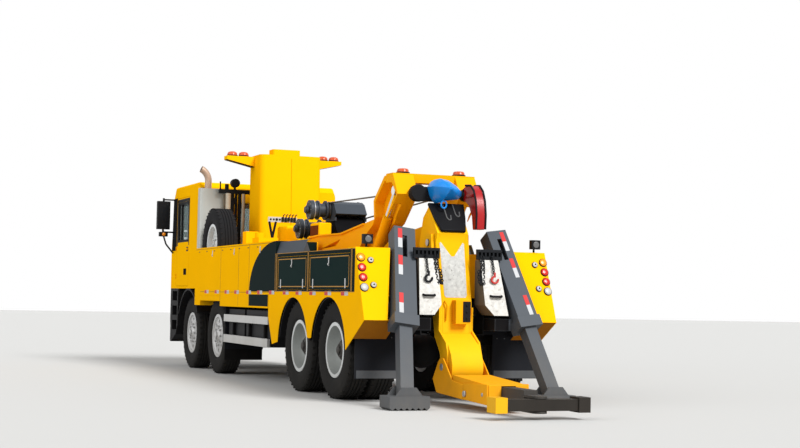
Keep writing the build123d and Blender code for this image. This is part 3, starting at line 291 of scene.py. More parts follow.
# Dirt on the yellow, black, rusty and dark green parts
yellowDirt, blackDirt = (0.30, 0.17, 0.04), (0.06, 0.05, 0.04)
rustDirt, greenDirt = (0.08, 0.06, 0.04), (0.03, 0.03, 0.025)
coatings = {
    "bodyYellow": dict(colour=(0.92, 0.46, 0.002), roughness=0.55, mottle=0.05, dirt=0.12, dirtHeight=1.9,
                       specular=0.0, dirtColour=yellowDirt),
    "boomOrange": dict(colour=(0.86, 0.38, 0.002), roughness=0.55, mottle=0.07, dirt=0.16, scuff=0.1,
                       dirtHeight=2.2, specular=0.02, scuffColour=(0.40, 0.20, 0.03), dirtColour=yellowDirt),
    "mastYellow": dict(colour=(0.92, 0.47, 0.002), roughness=0.52, mottle=0.08, dirt=0.25, scuff=0.14,
                       dirtHeight=1.7, specular=0.06, scuffColour=(0.45, 0.24, 0.04), dirtColour=yellowDirt),
    "stingerOrange": dict(colour=(0.86, 0.36, 0.002), roughness=0.55, mottle=0.1, dirt=0.35, scuff=0.26,
                          dirtHeight=0.9, specular=0.06, scuffColour=(0.22, 0.13, 0.04), dirtColour=yellowDirt),
    "chassisBlack": dict(colour=(0.010, 0.011, 0.013), roughness=0.55, mottle=0.2, dirt=0.16, dirtHeight=1.5,
                         specular=0.1, dirtColour=blackDirt, grain=0.12, grainScale=60),
    "plainBlack": dict(colour=(0.008, 0.008, 0.009), roughness=0.6, mottle=0.15, dirt=0.08, grain=0.25,
                       grainScale=180, specular=0.1, dirtColour=blackDirt),
    "gloss": dict(colour=(0.006, 0.007, 0.009), roughness=0.3, mottle=0.05, dirt=0.05, specular=0.15),
    "swooshBlack": dict(colour=(0.005, 0.012, 0.012), roughness=0.6, mottle=0.06, dirt=0.1, dirtHeight=1.9,
                        dirtColour=greenDirt, specular=0.015),
    "lockerGreen": dict(colour=(0.005, 0.016, 0.015), roughness=0.6, mottle=0.15, dirt=0.1, dirtHeight=1.9,
                        dirtColour=greenDirt, specular=0.015),
    # Gold for the aluminium trim lines and frames: a painted reflection
    "trimReflectionGold": dict(colour=(0.40, 0.20, 0.03), roughness=0.5, mottle=0.15, dirt=0.2, specular=0.1),
    "coamingSlate": dict(colour=(0.05, 0.06, 0.075), roughness=0.6, mottle=0.15, dirt=0.2, specular=0.15),
    "castGrey": dict(colour=(0.09, 0.09, 0.09), roughness=0.7, metallic=0.5, mottle=0.25, dirt=0.5, grain=0.5,
                     grainScale=45),
    "tyreRubber": dict(colour=(0.012, 0.012, 0.013), roughness=0.85, mottle=0.22, dirt=0.26, dirtHeight=2.4,
                       specular=0.1, dirtColour=(0.06, 0.055, 0.045), grain=0.35, grainScale=90),
    "flapRubber": dict(colour=(0.008, 0.009, 0.012), roughness=0.7, mottle=0.15, dirt=0.2, dirtHeight=0.8,
                       specular=0.1, grain=0.3, dirtColour=(0.05, 0.05, 0.05), grainScale=110),
    "rimSilver": dict(colour=(0.56, 0.57, 0.58), roughness=0.36, metallic=0.55, mottle=0.12, dirt=0.5,
                      dirtHeight=1.9, grain=0.08, grainScale=70),
    "rimWhite": dict(colour=(0.62, 0.64, 0.64), roughness=0.4, metallic=0.3, mottle=0.14, dirt=0.34,
                     dirtHeight=1.4, dirtColour=(0.2, 0.18, 0.15), grain=0.12, grainScale=70, specular=0.3),
    "steel": dict(colour=(0.5, 0.5, 0.5), roughness=0.32, metallic=0.95, mottle=0.15, dirt=0.3, grain=0.08,
                  stretch=(1, 1, 9)),
    "darkSteel": dict(colour=(0.05, 0.048, 0.046), roughness=0.5, metallic=0.5, mottle=0.3, dirt=0.2, scuff=0.3,
                      specular=0.2, scuffColour=(0.14, 0.08, 0.04), dirtColour=rustDirt, grain=0.25,
                      grainScale=60),
    "chrome": dict(colour=(0.74, 0.74, 0.74), roughness=0.14, metallic=1.0, mottle=0.05, dirt=0.15),
    "railAluminium": dict(colour=(0.52, 0.52, 0.51), roughness=0.42, metallic=0.7, mottle=0.12, dirt=0.45,
                          dirtHeight=1.3, grain=0.1, stretch=(0.1, 1, 6)),
    "plateWhite": dict(colour=(0.44, 0.44, 0.42), roughness=0.5, metallic=0.15, mottle=0.4, mottleScale=22.0,
                       dirt=0.4, dirtHeight=2.2, dirtColour=(0.20, 0.18, 0.15), scuff=0.6, scuffScale=26.0,
                       scuffColour=(0.13, 0.12, 0.11), specular=0.12),
    "legGrey": dict(colour=(0.045, 0.055, 0.068), roughness=0.5, coat=0.05, mottle=0.12, dirt=0.28, scuff=0.16,
                    scuffColour=(0.16, 0.14, 0.12), dirtHeight=1.4, specular=0.2),
    "boxWhite": dict(colour=(0.52, 0.51, 0.48), roughness=0.5, metallic=0.1, mottle=0.35, mottleScale=22.0,
                     dirt=0.35, dirtHeight=1.7, dirtColour=(0.26, 0.22, 0.18), scuff=0.6, scuffScale=26.0,
                     scuffColour=(0.22, 0.19, 0.16), specular=0.1),
    "flatBlack": dict(colour=(0.006, 0.006, 0.007), roughness=0.8, mottle=0.1, dirt=0.05, specular=0.02),
    # Near-black for the sheet at the mast's top: painted shade of the hollow there
    "hollowShadeBlack": dict(colour=(0.005, 0.005, 0.006), roughness=0.4, mottle=0.1, dirt=0.04, specular=0.08),
    # Darker orange-brown for the mudguards' sloping undersides: painted shade
    "tailShadeBrown": dict(colour=(0.34, 0.12, 0.002), roughness=0.7, mottle=0.2, dirt=0.2, specular=0.02),
    # Dark maroon for the boom heel's side: painted shade
    "shadeMaroon": dict(colour=(0.13, 0.03, 0.008), roughness=0.8, mottle=0.1, dirt=0.1, specular=0.02),
    "dishGrey": dict(colour=(0.30, 0.32, 0.31), roughness=0.45, metallic=0.3, mottle=0.25, dirt=0.45,
                     dirtHeight=1.2, dirtColour=(0.1, 0.09, 0.07), specular=0.2),
    "lensGrey": dict(colour=(0.12, 0.12, 0.12), roughness=0.2, mottle=0.1, dirt=0.1, specular=0.3),
    "winchSlate": dict(colour=(0.035, 0.043, 0.055), roughness=0.5, mottle=0.15, dirt=0.15, specular=0.2),
    "boxGrey": dict(colour=(0.10, 0.085, 0.065), roughness=0.6, mottle=0.2, dirt=0.3, specular=0.15),
    # Pale grey for the drums' near rings: a painted highlight on the flange
    "winchHighlightGrey": dict(colour=(0.34, 0.35, 0.36), roughness=0.45, metallic=0.3, mottle=0.12, dirt=0.3),
    "tubeBeige": dict(colour=(0.46, 0.40, 0.31), roughness=0.5, mottle=0.15, dirt=0.3),
    "shieldGrey": dict(colour=(0.42, 0.43, 0.40), roughness=0.42, metallic=0.35, mottle=0.15, dirt=0.3,
                       upperColour=(0.42, 0.30, 0.22), upperFrom=3.091, grain=0.1, grainScale=60),
    "headBlue": dict(colour=(0.004, 0.19, 0.58), roughness=0.3, coat=0.1, mottle=0.1, dirt=0.25, scuff=0.14,
                     scuffColour=(0.1, 0.14, 0.2), specular=0.25),
    "headRed": dict(colour=(0.34, 0.006, 0.008), roughness=0.34, coat=0.1, mottle=0.1, dirt=0.25, scuff=0.16,
                    scuffColour=(0.14, 0.06, 0.05), specular=0.25),
    "hookRed": dict(colour=(0.46, 0.02, 0.015), roughness=0.4, coat=0.2, mottle=0.12, dirt=0.25, scuff=0.2),
    "tapeRed": dict(colour=(0.50, 0.02, 0.02), roughness=0.4, mottle=0.05, dirt=0.2, grain=0.06, grainScale=400,
                    specular=0.15),
    "tapeWhite": dict(colour=(0.44, 0.45, 0.46), roughness=0.4, mottle=0.05, dirt=0.2, grain=0.06, grainScale=400,
                      specular=0.2),
    "lensAmber": dict(colour=(0.80, 0.26, 0.004), roughness=0.2, coat=0.1, mottle=0.04, dirt=0.05, specular=0.3),
    "lensRed": dict(colour=(0.50, 0.012, 0.006), roughness=0.2, coat=0.1, mottle=0.04, dirt=0.05, specular=0.3),
    "lensBeacon": dict(colour=(0.50, 0.07, 0.012), roughness=0.25, coat=0.1, mottle=0.04, dirt=0.08,
                       specular=0.3),
    "lensClear": dict(colour=(0.42, 0.42, 0.40), roughness=0.25, mottle=0.04, dirt=0.08, specular=0.2),
    "ropeSteel": dict(colour=(0.10, 0.10, 0.10), roughness=0.5, metallic=0.7, mottle=0.3, dirt=0.2, grain=0.8,
                      grainScale=260, grainDepth=0.004),
    "crossbarSteel": dict(colour=(0.02, 0.018, 0.016), roughness=0.55, metallic=0.3, mottle=0.3, dirt=0.12,
                          scuff=0.4, specular=0.15, scuffColour=(0.13, 0.06, 0.015),
                          sideColour=(0.80, 0.42, 0.005), sideFrom=0.42, grain=0.3, dirtColour=rustDirt,
                          grainScale=50),
    "trimFabric": dict(colour=(0.045, 0.047, 0.052), roughness=0.9, mottle=0.2, dirt=0.1, grain=0.6,
                       grainScale=420),
    "dashPlastic": dict(colour=(0.05, 0.05, 0.052), roughness=0.65, mottle=0.1, dirt=0.1, grain=0.4,
                        grainScale=300),
}
for coating, look in coatings.items():
    makeFinish(coating, look)
makeGlass("cabGlass", glazing)
print("finishes made:", len(finishes))

# What each CAD node wears
nodeFinishes = (
    ("rim_front", "rimSilver"), ("rim_rear", "rimWhite"), ("knuckle", "castGrey"), ("axles", "chassisBlack"),
    ("springs", "chassisBlack"), ("frame", "chassisBlack"), ("engine", "castGrey"), ("cab_shell", "bodyYellow"),
    ("cab_glass", "cabGlass"), ("cab_trim", "plainBlack"), ("door_", "bodyYellow"), ("exhaust", "shieldGrey"),
    ("gantry", "chassisBlack"), ("tower", "bodyYellow"), ("side_bodies", "bodyYellow"),
    ("locker_door", "lockerGreen"), ("fenders", "boomOrange"), ("mud_flaps", "flapRubber"),
    ("side_guards", "railAluminium"), ("tanks", "chassisBlack"), ("chequer_boxes", "plateWhite"),
    ("leg_sleeves", "legGrey"), ("leg_left", "legGrey"), ("leg_right", "legGrey"), ("boom", "boomOrange"),
    ("winches", "winchSlate"), ("ropes", "ropeSteel"), ("lift_barrels", "boomOrange"), ("lift_rods", "chrome"),
    ("rope_head_left", "headBlue"), ("rope_head_right", "headRed"), ("underlift_mast", "mastYellow"),
    ("stinger_slide", "darkSteel"), ("stinger", "stingerOrange"), ("crossbar", "crossbarSteel"),
    ("cab_interior", "dashPlastic"), ("hook_racks", "plainBlack"), ("lamps", "lensRed"), ("tyre", "tyreRubber"),
    ("spare", "tyreRubber"),
)
for nodeName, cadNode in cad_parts.items():
    finish = next(f for key, f in nodeFinishes if nodeName.startswith(key))
    cadNode.data.materials.clear()
    cadNode.data.materials.append(finishes[finish])


# Mesh code: each adds a closed form to a bmesh
boxFaces = ((0, 1, 3, 2), (4, 6, 7, 5), (0, 4, 5, 1), (2, 3, 7, 6), (0, 2, 6, 4), (1, 5, 7, 3))


def addBox(form, corners):
    made = [form.verts.new(corner) for corner in corners]
    for ring in boxFaces:
        form.faces.new([made[i] for i in ring])


def addBlock(form, x, y, z):
    addBox(form, [at(a, b, c) for a in x for b in y for c in z])


def addLoft(form, rings):
    rings = [[form.verts.new(corner) for corner in ring] for ring in rings]
    form.faces.new(rings[0])
    form.faces.new(rings[-1][::-1])
    for near, far in zip(rings, rings[1:]):
        for i in range(len(near)):
            j = (i + 1) % len(near)
            form.faces.new((near[i], near[j], far[j], far[i]))


def addSlab(form, outline, span, across="y"):
    place = {"y": lambda a, b, c: at(a, c, b), "x": lambda a, b, c: at(c, a, b), "z": at}[across]
    addLoft(form, [[place(a, b, c) for a, b in outline] for c in span])


# A span measured outwards from the middle, on the left (1) or the right (-1)
def onSide(side, *span):
    return sorted(side * a for a in span)


def outboard(side, near, far):
    return onSide(side, halfWidth + near, halfWidth + far)


def about(middle, half):
    return middle - half, middle + half


def turnedFrame(start, end):
    run = (end - start).normalized()
    side = run.cross(Vector((0, 0, 1)))
    side = Vector((1, 0, 0)) if side.length < 1e-4 else side.normalized()
    return run, side, run.cross(side)


def addLathe(form, profile, centre, axis=(0, 1, 0), sectors=32, closed=False):
    centre = at(*centre)
    run, side, up = turnedFrame(centre, centre + Vector(axis))
    rings = []
    for offset, radius in profile:
        if radius < 1e-6:
            rings.append([form.verts.new(centre + run * offset)])
            continue
        rings.append([form.verts.new(centre + run * offset + (side * math.cos(t) + up * math.sin(t)) * radius)
                      for t in (math.tau * n / sectors for n in range(sectors))])
    pairs = list(zip(rings, rings[1:])) + ([(rings[-1], rings[0])] if closed else [])
    for a, b in pairs:
        for n in range(sectors):
            m = (n + 1) % sectors
            corners = [a[n % len(a)], a[m % len(a)], b[m % len(b)], b[n % len(b)]]
            corners = [c for i, c in enumerate(corners) if c not in corners[:i]]
            if len(corners) > 2:
                form.faces.new(corners)
    if not closed:
        for ring in (rings[0], rings[-1]):
            if len(ring) > 2:
                form.faces.new(ring)


def addRod(form, start, end, radius, sectors=16, chamfer=0.0):
    a, b = Vector(start), Vector(end)
    length = (b - a).length
    profile = [(0, radius), (length, radius)]
    if chamfer:
        profile = [(0, radius - chamfer), (chamfer, radius), (length - chamfer, radius), (length, radius - chamfer)]
    addLathe(form, profile, start, (b - a).normalized(), sectors)


def addMesh(form, mesh, matrix):
    mesh.transform(matrix)
    form.from_mesh(mesh)
    bpy.data.meshes.remove(mesh)


creaseAngle = math.radians(38)


def finishPiece(form, name, finish, body="chassis", edge=0.0, steps=2, stands=()):
    bmesh.ops.recalc_face_normals(form, faces=form.faces)
    mesh = bpy.data.meshes.new(name)
    form.to_mesh(mesh)
    form.free()
    mesh.shade_smooth()
    mesh.set_sharp_from_angle(angle=creaseAngle)
    mesh.materials.clear()
    mesh.materials.append(finishes[finish])
    piece = bpy.data.objects.new(name, mesh)
    bpy.context.scene.collection.objects.link(piece)
    if edge:
        bevel = piece.modifiers.new("edge", "BEVEL")
        bevel.width, bevel.segments, bevel.limit_method = edge, steps, "ANGLE"
        bevel.angle_limit = creaseAngle
    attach(piece, body)
    if stands:
        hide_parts(*stands)
    return piece


# Geometry Nodes: what repeats, or follows a path
def makeTree(name, inputs):
    tree = bpy.data.node_groups.new(name, "GeometryNodeTree")
    tree.interface.new_socket("Geometry", in_out="INPUT", socket_type="NodeSocketGeometry")
    for label, kind, value in inputs:
        tree.interface.new_socket(label, in_out="INPUT", socket_type=kind).default_value = value
    tree.interface.new_socket("Finish", in_out="INPUT", socket_type="NodeSocketMaterial")
    tree.interface.new_socket("Geometry", in_out="OUTPUT", socket_type="NodeSocketGeometry")
    return tree, tree.nodes.new("NodeGroupInput").outputs, tree.nodes.new("NodeGroupOutput")


def closeTree(tree, given, out, geometry):
    real = node(tree, "GeometryNodeRealizeInstances", (("Geometry", geometry),))
    painted = node(tree, "GeometryNodeSetMaterial", (("Geometry", real.outputs[0]), ("Material", given["Finish"])))
    tree.links.new(painted.outputs[0], out.inputs[0])
    return tree


intSocket = "NodeSocketInt"


def boltRingTree():
    tree, given, out = makeTree("boltRing", (("Bolts", intSocket, 10), ("Ring Radius", floatSocket, 0.16),
                                             ("Bolt Radius", floatSocket, 0.017), ("Bolt Height", floatSocket, 0.03),
                                             ("Bolt Sides", intSocket, 6)))
    ring = node(tree, "GeometryNodeMeshCircle", (("Vertices", given["Bolts"]), ("Radius", given["Ring Radius"])))
    bolt = node(tree, "GeometryNodeMeshCylinder", (("Vertices", given["Bolt Sides"]), ("Radius", given["Bolt Radius"]),
                                                   ("Depth", given["Bolt Height"])))
    placed = node(tree, "GeometryNodeInstanceOnPoints", (("Points", ring.outputs[0]), ("Instance", bolt.outputs[0])))
    return closeTree(tree, given, out, placed.outputs[0])


def lugTree():
    tree, given, out = makeTree("treadLugs", (("Lugs", intSocket, 48), ("Radius", floatSocket, 0.6),
                                              ("Lug Size", vectorSocket, (0.02, 0.03, 0.06)),
                                              ("Skew", floatSocket, 0.25)))
    ring = node(tree, "GeometryNodeMeshCircle", (("Vertices", given["Lugs"]), ("Radius", given["Radius"])))
    lug = node(tree, "GeometryNodeMeshCube", (("Size", given["Lug Size"]),))
    leaned = node(tree, "GeometryNodeTransform", (("Geometry", lug.outputs[0]), ("Rotation", node(
        tree, "ShaderNodeCombineXYZ", (("X", given["Skew"]),)).outputs[0])))
    facing = node(tree, "FunctionNodeAlignRotationToVector",
                  (("Vector", node(tree, "GeometryNodeInputPosition").outputs[0]),), axis="X")
    placed = node(tree, "GeometryNodeInstanceOnPoints", (("Points", ring.outputs[0]), ("Instance", leaned.outputs[0]),
                                                         ("Rotation", facing.outputs[0])))
    return closeTree(tree, given, out, placed.outputs[0])


def sweepTree():
    tree, given, out = makeTree("sweep", (("Radius", floatSocket, 0.01), ("Sides", intSocket, 8),
                                          ("Bend", floatSocket, 0.05), ("Bend Steps", intSocket, 5)))
    line = node(tree, "GeometryNodeMeshToCurve", (("Mesh", given["Geometry"]),))
    bent = node(tree, "GeometryNodeFilletCurve", (("Curve", line.outputs[0]), ("Radius", given["Bend"]),
                                                  ("Count", given["Bend Steps"]), ("Limit Radius", True)), mode="POLY")
    section = node(tree, "GeometryNodeCurvePrimitiveCircle", (("Resolution", given["Sides"]),
                                                              ("Radius", given["Radius"])))
    tube = node(tree, "GeometryNodeCurveToMesh", (("Curve", bent.outputs[0]), ("Profile Curve", section.outputs[0]),
                                                  ("Fill Caps", True)))
    return closeTree(tree, given, out, tube.outputs[0])


def plateTree():
    tree, given, out = makeTree("treadPlate", (("Pitch", floatSocket, 0.024),
                                               ("Bar", vectorSocket, (0.017, 0.005, 0.003)),
                                               ("Columns", intSocket, 13), ("Rows", intSocket, 27)))
    box = node(tree, "GeometryNodeBoundBox", (("Geometry", given["Geometry"]),))
    middle = node(tree, "ShaderNodeVectorMath", ((0, box.outputs["Min"]), (1, box.outputs["Max"])), operation="ADD")
    middle = node(tree, "ShaderNodeVectorMath", ((0, middle.outputs[0]), ("Scale", 0.5)), operation="SCALE")
    width = mathNode(tree, "MULTIPLY", mathNode(tree, "SUBTRACT", given["Columns"], 1.0), given["Pitch"])
    height = mathNode(tree, "MULTIPLY", mathNode(tree, "SUBTRACT", given["Rows"], 1.0), given["Pitch"])
    grid = node(tree, "GeometryNodeMeshGrid", (("Size X", width), ("Size Y", height), ("Vertices X", given["Columns"]),
                                               ("Vertices Y", given["Rows"])))
    index = node(tree, "GeometryNodeInputIndex").outputs[0]
    odd = mathNode(tree, "FLOORED_MODULO", index, 2.0)
    turn = mathNode(tree, "SUBTRACT", mathNode(tree, "MULTIPLY", odd, math.pi / 2), math.pi / 4)
    placed = node(tree, "GeometryNodeTransform", (("Geometry", grid.outputs[0]), ("Translation", middle.outputs[0])))
    position = node(tree, "GeometryNodeInputPosition").outputs[0]
    above = node(tree, "ShaderNodeVectorMath", ((0, position), (1, (0, 0, 0.1))), operation="ADD")
    hit = node(tree, "GeometryNodeRaycast", (("Target Geometry", given["Geometry"]),
                                             ("Source Position", above.outputs[0]), ("Ray Direction", (0, 0, -1)),
                                             ("Ray Length", 1.0)))
    miss = mathNode(tree, "SUBTRACT", 1.0, hit.outputs["Is Hit"])
    kept = node(tree, "GeometryNodeMeshToPoints", (("Mesh", placed.outputs[0]), ("Radius", 0.001)))
    turned = node(tree, "GeometryNodeStoreNamedAttribute", (("Geometry", kept.outputs[0]), ("Name", "turn"),
                                                            ("Value", turn)), data_type="FLOAT", domain="POINT")
    kept = node(tree, "GeometryNodeDeleteGeometry", (("Geometry", turned.outputs[0]), ("Selection", miss)))
    way = node(tree, "GeometryNodeInputNamedAttribute", (("Name", "turn"),), data_type="FLOAT").outputs["Attribute"]
    bar = node(tree, "GeometryNodeMeshIcoSphere", (("Radius", 0.5), ("Subdivisions", 1)))
    bar = node(tree, "GeometryNodeTransform", (("Geometry", bar.outputs[0]), ("Scale", given["Bar"])))
    bars = node(tree, "GeometryNodeInstanceOnPoints", (("Points", kept.outputs[0]), ("Instance", bar.outputs[0]), (
        "Rotation", node(tree, "ShaderNodeCombineXYZ", (("Z", way),)).outputs[0])))
    return closeTree(tree, given, out, bars.outputs[0])


def windingTree():
    tree, given, out = makeTree("winding", (("Turns", floatSocket, 18.0), ("Drum Radius", floatSocket, 0.1),
                                            ("Width", floatSocket, 0.4), ("Rope Radius", floatSocket, 0.011)))
    coil = node(tree, "GeometryNodeCurveSpiral", (("Resolution", 20), ("Rotations", given["Turns"]),
                                                  ("Start Radius", given["Drum Radius"]),
                                                  ("End Radius", given["Drum Radius"]), ("Height", given["Width"])))
    section = node(tree, "GeometryNodeCurvePrimitiveCircle", (("Resolution", 6), ("Radius", given["Rope Radius"])))
    rope = node(tree, "GeometryNodeCurveToMesh", (("Curve", coil.outputs[0]), ("Profile Curve", section.outputs[0]),
                                                  ("Fill Caps", True)))
    return closeTree(tree, given, out, rope.outputs[0])


def chainTree():
    tree, given, out = makeTree("chain", (("Pitch", floatSocket, 0.026), ("Link Radius", floatSocket, 0.013),
                                          ("Wire Radius", floatSocket, 0.0045)))
    line = node(tree, "GeometryNodeMeshToCurve", (("Mesh", given["Geometry"]),))
    stations = node(tree, "GeometryNodeResampleCurve", (("Curve", line.outputs[0]), ("Length", given["Pitch"])),
                    mode="LENGTH")
    ring = node(tree, "GeometryNodeCurvePrimitiveCircle", (("Resolution", 10), ("Radius", given["Link Radius"])))
    oval = node(tree, "GeometryNodeTransform", (("Geometry", ring.outputs[0]), ("Scale", (0.85, 1.4, 1.0))))
    wire = node(tree, "GeometryNodeCurvePrimitiveCircle", (("Resolution", 5), ("Radius", given["Wire Radius"])))
    link = node(tree, "GeometryNodeCurveToMesh", (("Curve", oval.outputs[0]), ("Profile Curve", wire.outputs[0])))
    along = node(tree, "FunctionNodeAlignRotationToVector",
                 (("Vector", node(tree, "GeometryNodeInputTangent").outputs[0]),), axis="Y")
    index = node(tree, "GeometryNodeInputIndex").outputs[0]
    quarter = mathNode(tree, "MULTIPLY", mathNode(tree, "FLOORED_MODULO", index, 2.0), math.pi / 2)
    byQuarter = node(tree, "ShaderNodeCombineXYZ", (("Y", quarter),)).outputs[0]
    spin = node(tree, "FunctionNodeRotateRotation", (("Rotation", along.outputs[0]), ("Rotate By", byQuarter)),
                rotation_space="LOCAL")
    links = node(tree, "GeometryNodeInstanceOnPoints", (("Points", stations.outputs[0]), ("Instance", link.outputs[0]),
                                                        ("Rotation", spin.outputs[0])))
    return closeTree(tree, given, out, links.outputs[0])


trees = {"boltRing": boltRingTree(), "lugs": lugTree(), "sweep": sweepTree(), "plate": plateTree(),
         "winding": windingTree(), "chain": chainTree()}


def grow(name, values, base=None):
    tree = trees[name]
    carrier = bpy.data.objects.new("carrier", base or bpy.data.meshes.new("seed"))
    bpy.context.scene.collection.objects.link(carrier)
    modifier = carrier.modifiers.new("grow", "NODES")
    modifier.node_group = tree
    for item in tree.interface.items_tree:
        if item.in_out == "INPUT" and item.name in values:
            modifier[item.identifier] = values[item.name]
    graph = bpy.context.evaluated_depsgraph_get()
    made = bpy.data.meshes.new_from_object(carrier.evaluated_get(graph), depsgraph=graph)
    carrier.modifiers.remove(modifier)
    bpy.data.objects.remove(carrier)
    return made


def lineMesh(points, loop=False):
    mesh = bpy.data.meshes.new("line")
    count = len(points)
    joins = [(i, (i + 1) % count) for i in range(count if loop else count - 1)]
    mesh.from_pydata([at(*p) for p in points], joins, [])
    return mesh


def addSweep(form, points, radius, bend=0.0, loop=False, sectors=8):
    values = {"Radius": radius, "Sides": sectors, "Bend": bend, "Bend Steps": 5}
    form.from_mesh(grow("sweep", values, lineMesh(points, loop)))


def addBolts(form, centre, axis, count, ringRadius, boltRadius, boltHeight, sectors=6):
    values = {"Bolts": count, "Ring Radius": ringRadius, "Bolt Radius": boltRadius, "Bolt Height": boltHeight,
              "Bolt Sides": sectors}
    run, side, up = turnedFrame(Vector(), Vector(axis))
    turn = Matrix((side, up, run)).transposed().to_4x4()
    addMesh(form, grow("boltRing", values), Matrix.Translation(at(*centre)) @ turn)


print("trees made:", len(trees))

# Tyres: grooved tread, stepped walls and shoulder lugs. The wall runs up from the bead, as distance from the
# middle and radius, and the tread across the crown, as distance and depth. Twins are two tyres on one hub
tyre = {"radius": 0.613, "sectors": 60,
        "wall": ((0.118, 0.312), (0.118, 0.352), (0.140, 0.374), (0.150, 0.402), (0.1545, 0.452), (0.155, 0.5),
                 (0.1545, 0.54), (0.150, 0.552), (0.1465, 0.578), (0.131, 0.598)),
        "tread": ((0.117, 0.006), (0.078, 0.002), (0.074, 0.014), (0.062, 0.014), (0.058, 0.001), (0.032, 0),
                  (0.028, 0.014), (0.018, 0.014), (0.014, 0)),
        "lugs": {"Lugs": 40, "Lug Size": (0.02, 0.03, 0.05), "Skew": 0.3}, "lugOffset": 0.118, "lugSink": 0.0115}
axleX = {"front_1": 7.675, "front_2": 5.925, "rear_1": 1.45, "rear_2": 0.0}
wheelRows = {"front": (1.020,), "rear": (1.060, 0.715)}


def addTyre(form, x, y, z, look):
    radius = look["radius"]
    profile = [*look["wall"], *((offset, radius - depth) for offset, depth in look["tread"])]
    ring = [(-offset, r) for offset, r in profile] + profile[::-1]
    addLathe(form, ring, (x, y, z), (0, 1, 0), look["sectors"], closed=True)
    values = dict(look["lugs"], Radius=radius - look["lugSink"])
    for side in (1, -1):
        turn = Matrix.Rotation(math.radians(-90 * side), 4, "X")
        addMesh(form, grow("lugs", values), Matrix.Translation(at(x, y + side * look["lugOffset"], z)) @ turn)


# On each wheel: the ring of nuts about the disc, and the hub's end with its bolts and cap. Profiles are
# distance outwards and radius
wheelTrim = {"disc": {"front": 0.110, "rear": -0.060}, "hubEnd": {"front": 0.150, "rear": 0.070},
             "nuts": 10, "nutRing": {"front": 0.157, "rear": 0.167}, "nutRadius": 0.0185, "nutHeight": 0.034,
             "nutProud": 0.018, "nutFinish": {"front": "steel", "rear": "darkSteel"},
             "hubBolts": (8, 0.062, 0.009, 0.012), "boltProud": 0.005,
             "cap": ((0, 0), (0, 0.055), (0.018, 0.055), (0.026, 0.044), (0.028, 0))}
# The outer twin shows a deep dish, a flange ring, and a disc with the hub on it:
# name, finish, slot, sectors, closed or not, profiles
rearRims = (
    ("rimDish", "dishGrey", "rim_silver", 48, True,
     (((0.1300, 0.3055), (0.1165, 0.2985), (0.05, 0.2780), (-0.02, 0.2400), (-0.056, 0.1950), (-0.0588, 0.1950),
       (-0.024, 0.2430), (0.046, 0.2810), (0.114, 0.3005), (0.1285, 0.3070)),)),
    ("rimCone", "rimWhite", "rim_silver", 48, True,
     (((0.1315, 0.3480), (0.1325, 0.3300), (0.1315, 0.3060), (0.1300, 0.3060), (0.1303, 0.3480)),)),
    ("rimHub", "darkSteel", "cast_grey", 40, False,
     (((-0.0595, 0.001), (-0.0595, 0.2), (-0.0565, 0.2), (-0.0565, 0.001)),
      ((-0.05, 0.001), (-0.05, 0.1315), (0.0295, 0.1315), (0.0715, 0.083), (0.0715, 0.001)))),
)
for axle, x in axleX.items():
    place, z = axle[:-2], tyre["radius"]
    rows = wheelRows[place]
    for side, hand in sides:
        wheel, ending = f"wheel_{axle}_{hand}", axle.title() + hand.title()
        form = bmesh.new()
        for y in rows:
            addTyre(form, x, side * y, z, tyre)
        finishPiece(form, "tyre" + ending, "tyreRubber", wheel, stands=(f"tyre_{axle}_{hand}",))
        form = bmesh.new()
        face = side * (rows[0] + wheelTrim["disc"][place] + wheelTrim["nutProud"])
        addBolts(form, (x, face, z), (0, side, 0), wheelTrim["nuts"], wheelTrim["nutRing"][place],
                 wheelTrim["nutRadius"], wheelTrim["nutHeight"])
        end = side * (rows[0] + wheelTrim["hubEnd"][place])
        addBolts(form, (x, end + side * wheelTrim["boltProud"], z), (0, side, 0), *wheelTrim["hubBolts"])
        addLathe(form, wheelTrim["cap"], (x, end, z), (0, side, 0), 24)
        finishPiece(form, "wheelNuts" + ending, wheelTrim["nutFinish"][place], wheel)
        for name, finish, slot, sectors, closed, profiles in rearRims if place == "rear" else ():
            form = bmesh.new()
            for profile in profiles:
                addLathe(form, [(side * y, r) for y, r in profile], (x, side * rows[0], z), (0, 1, 0), sectors,
                         closed=closed)
            finishPiece(form, name + ending, finish, wheel)

spare = {"place": (6.23, 1.075, 2.1), "nuts": (10, 0.155, 0.016, 0.02), "nutProud": 0.078,
         "rim": ((-0.130, 0.350), (-0.130, 0.296), (0.020, 0.290), (0.020, 0.190), (-0.010, 0.110), (-0.010, 0.001),
                 (0.070, 0.001), (0.070, 0.0682), (0.030, 0.110), (0.070, 0.110), (0.060, 0.190), (0.052, 0.280),
                 (0.116, 0.300), (0.130, 0.306), (0.130, 0.350), (0.1183, 0.350), (0.1183, 0.3117),
                 (-0.1183, 0.3117), (-0.1183, 0.350))}
form = bmesh.new()
addTyre(form, *spare["place"], tyre)
finishPiece(form, "spareTyre", "tyreRubber", stands=("spare_wheel",))
form = bmesh.new()
x, y, z = spare["place"]
addLathe(form, spare["rim"], spare["place"], (0, 1, 0), 48, closed=True)
addBolts(form, (x, y + spare["nutProud"], z), (0, 1, 0), *spare["nuts"])
finishPiece(form, "spareRim", "rimWhite", stands=("spare_wheel",))
print("wheels made")

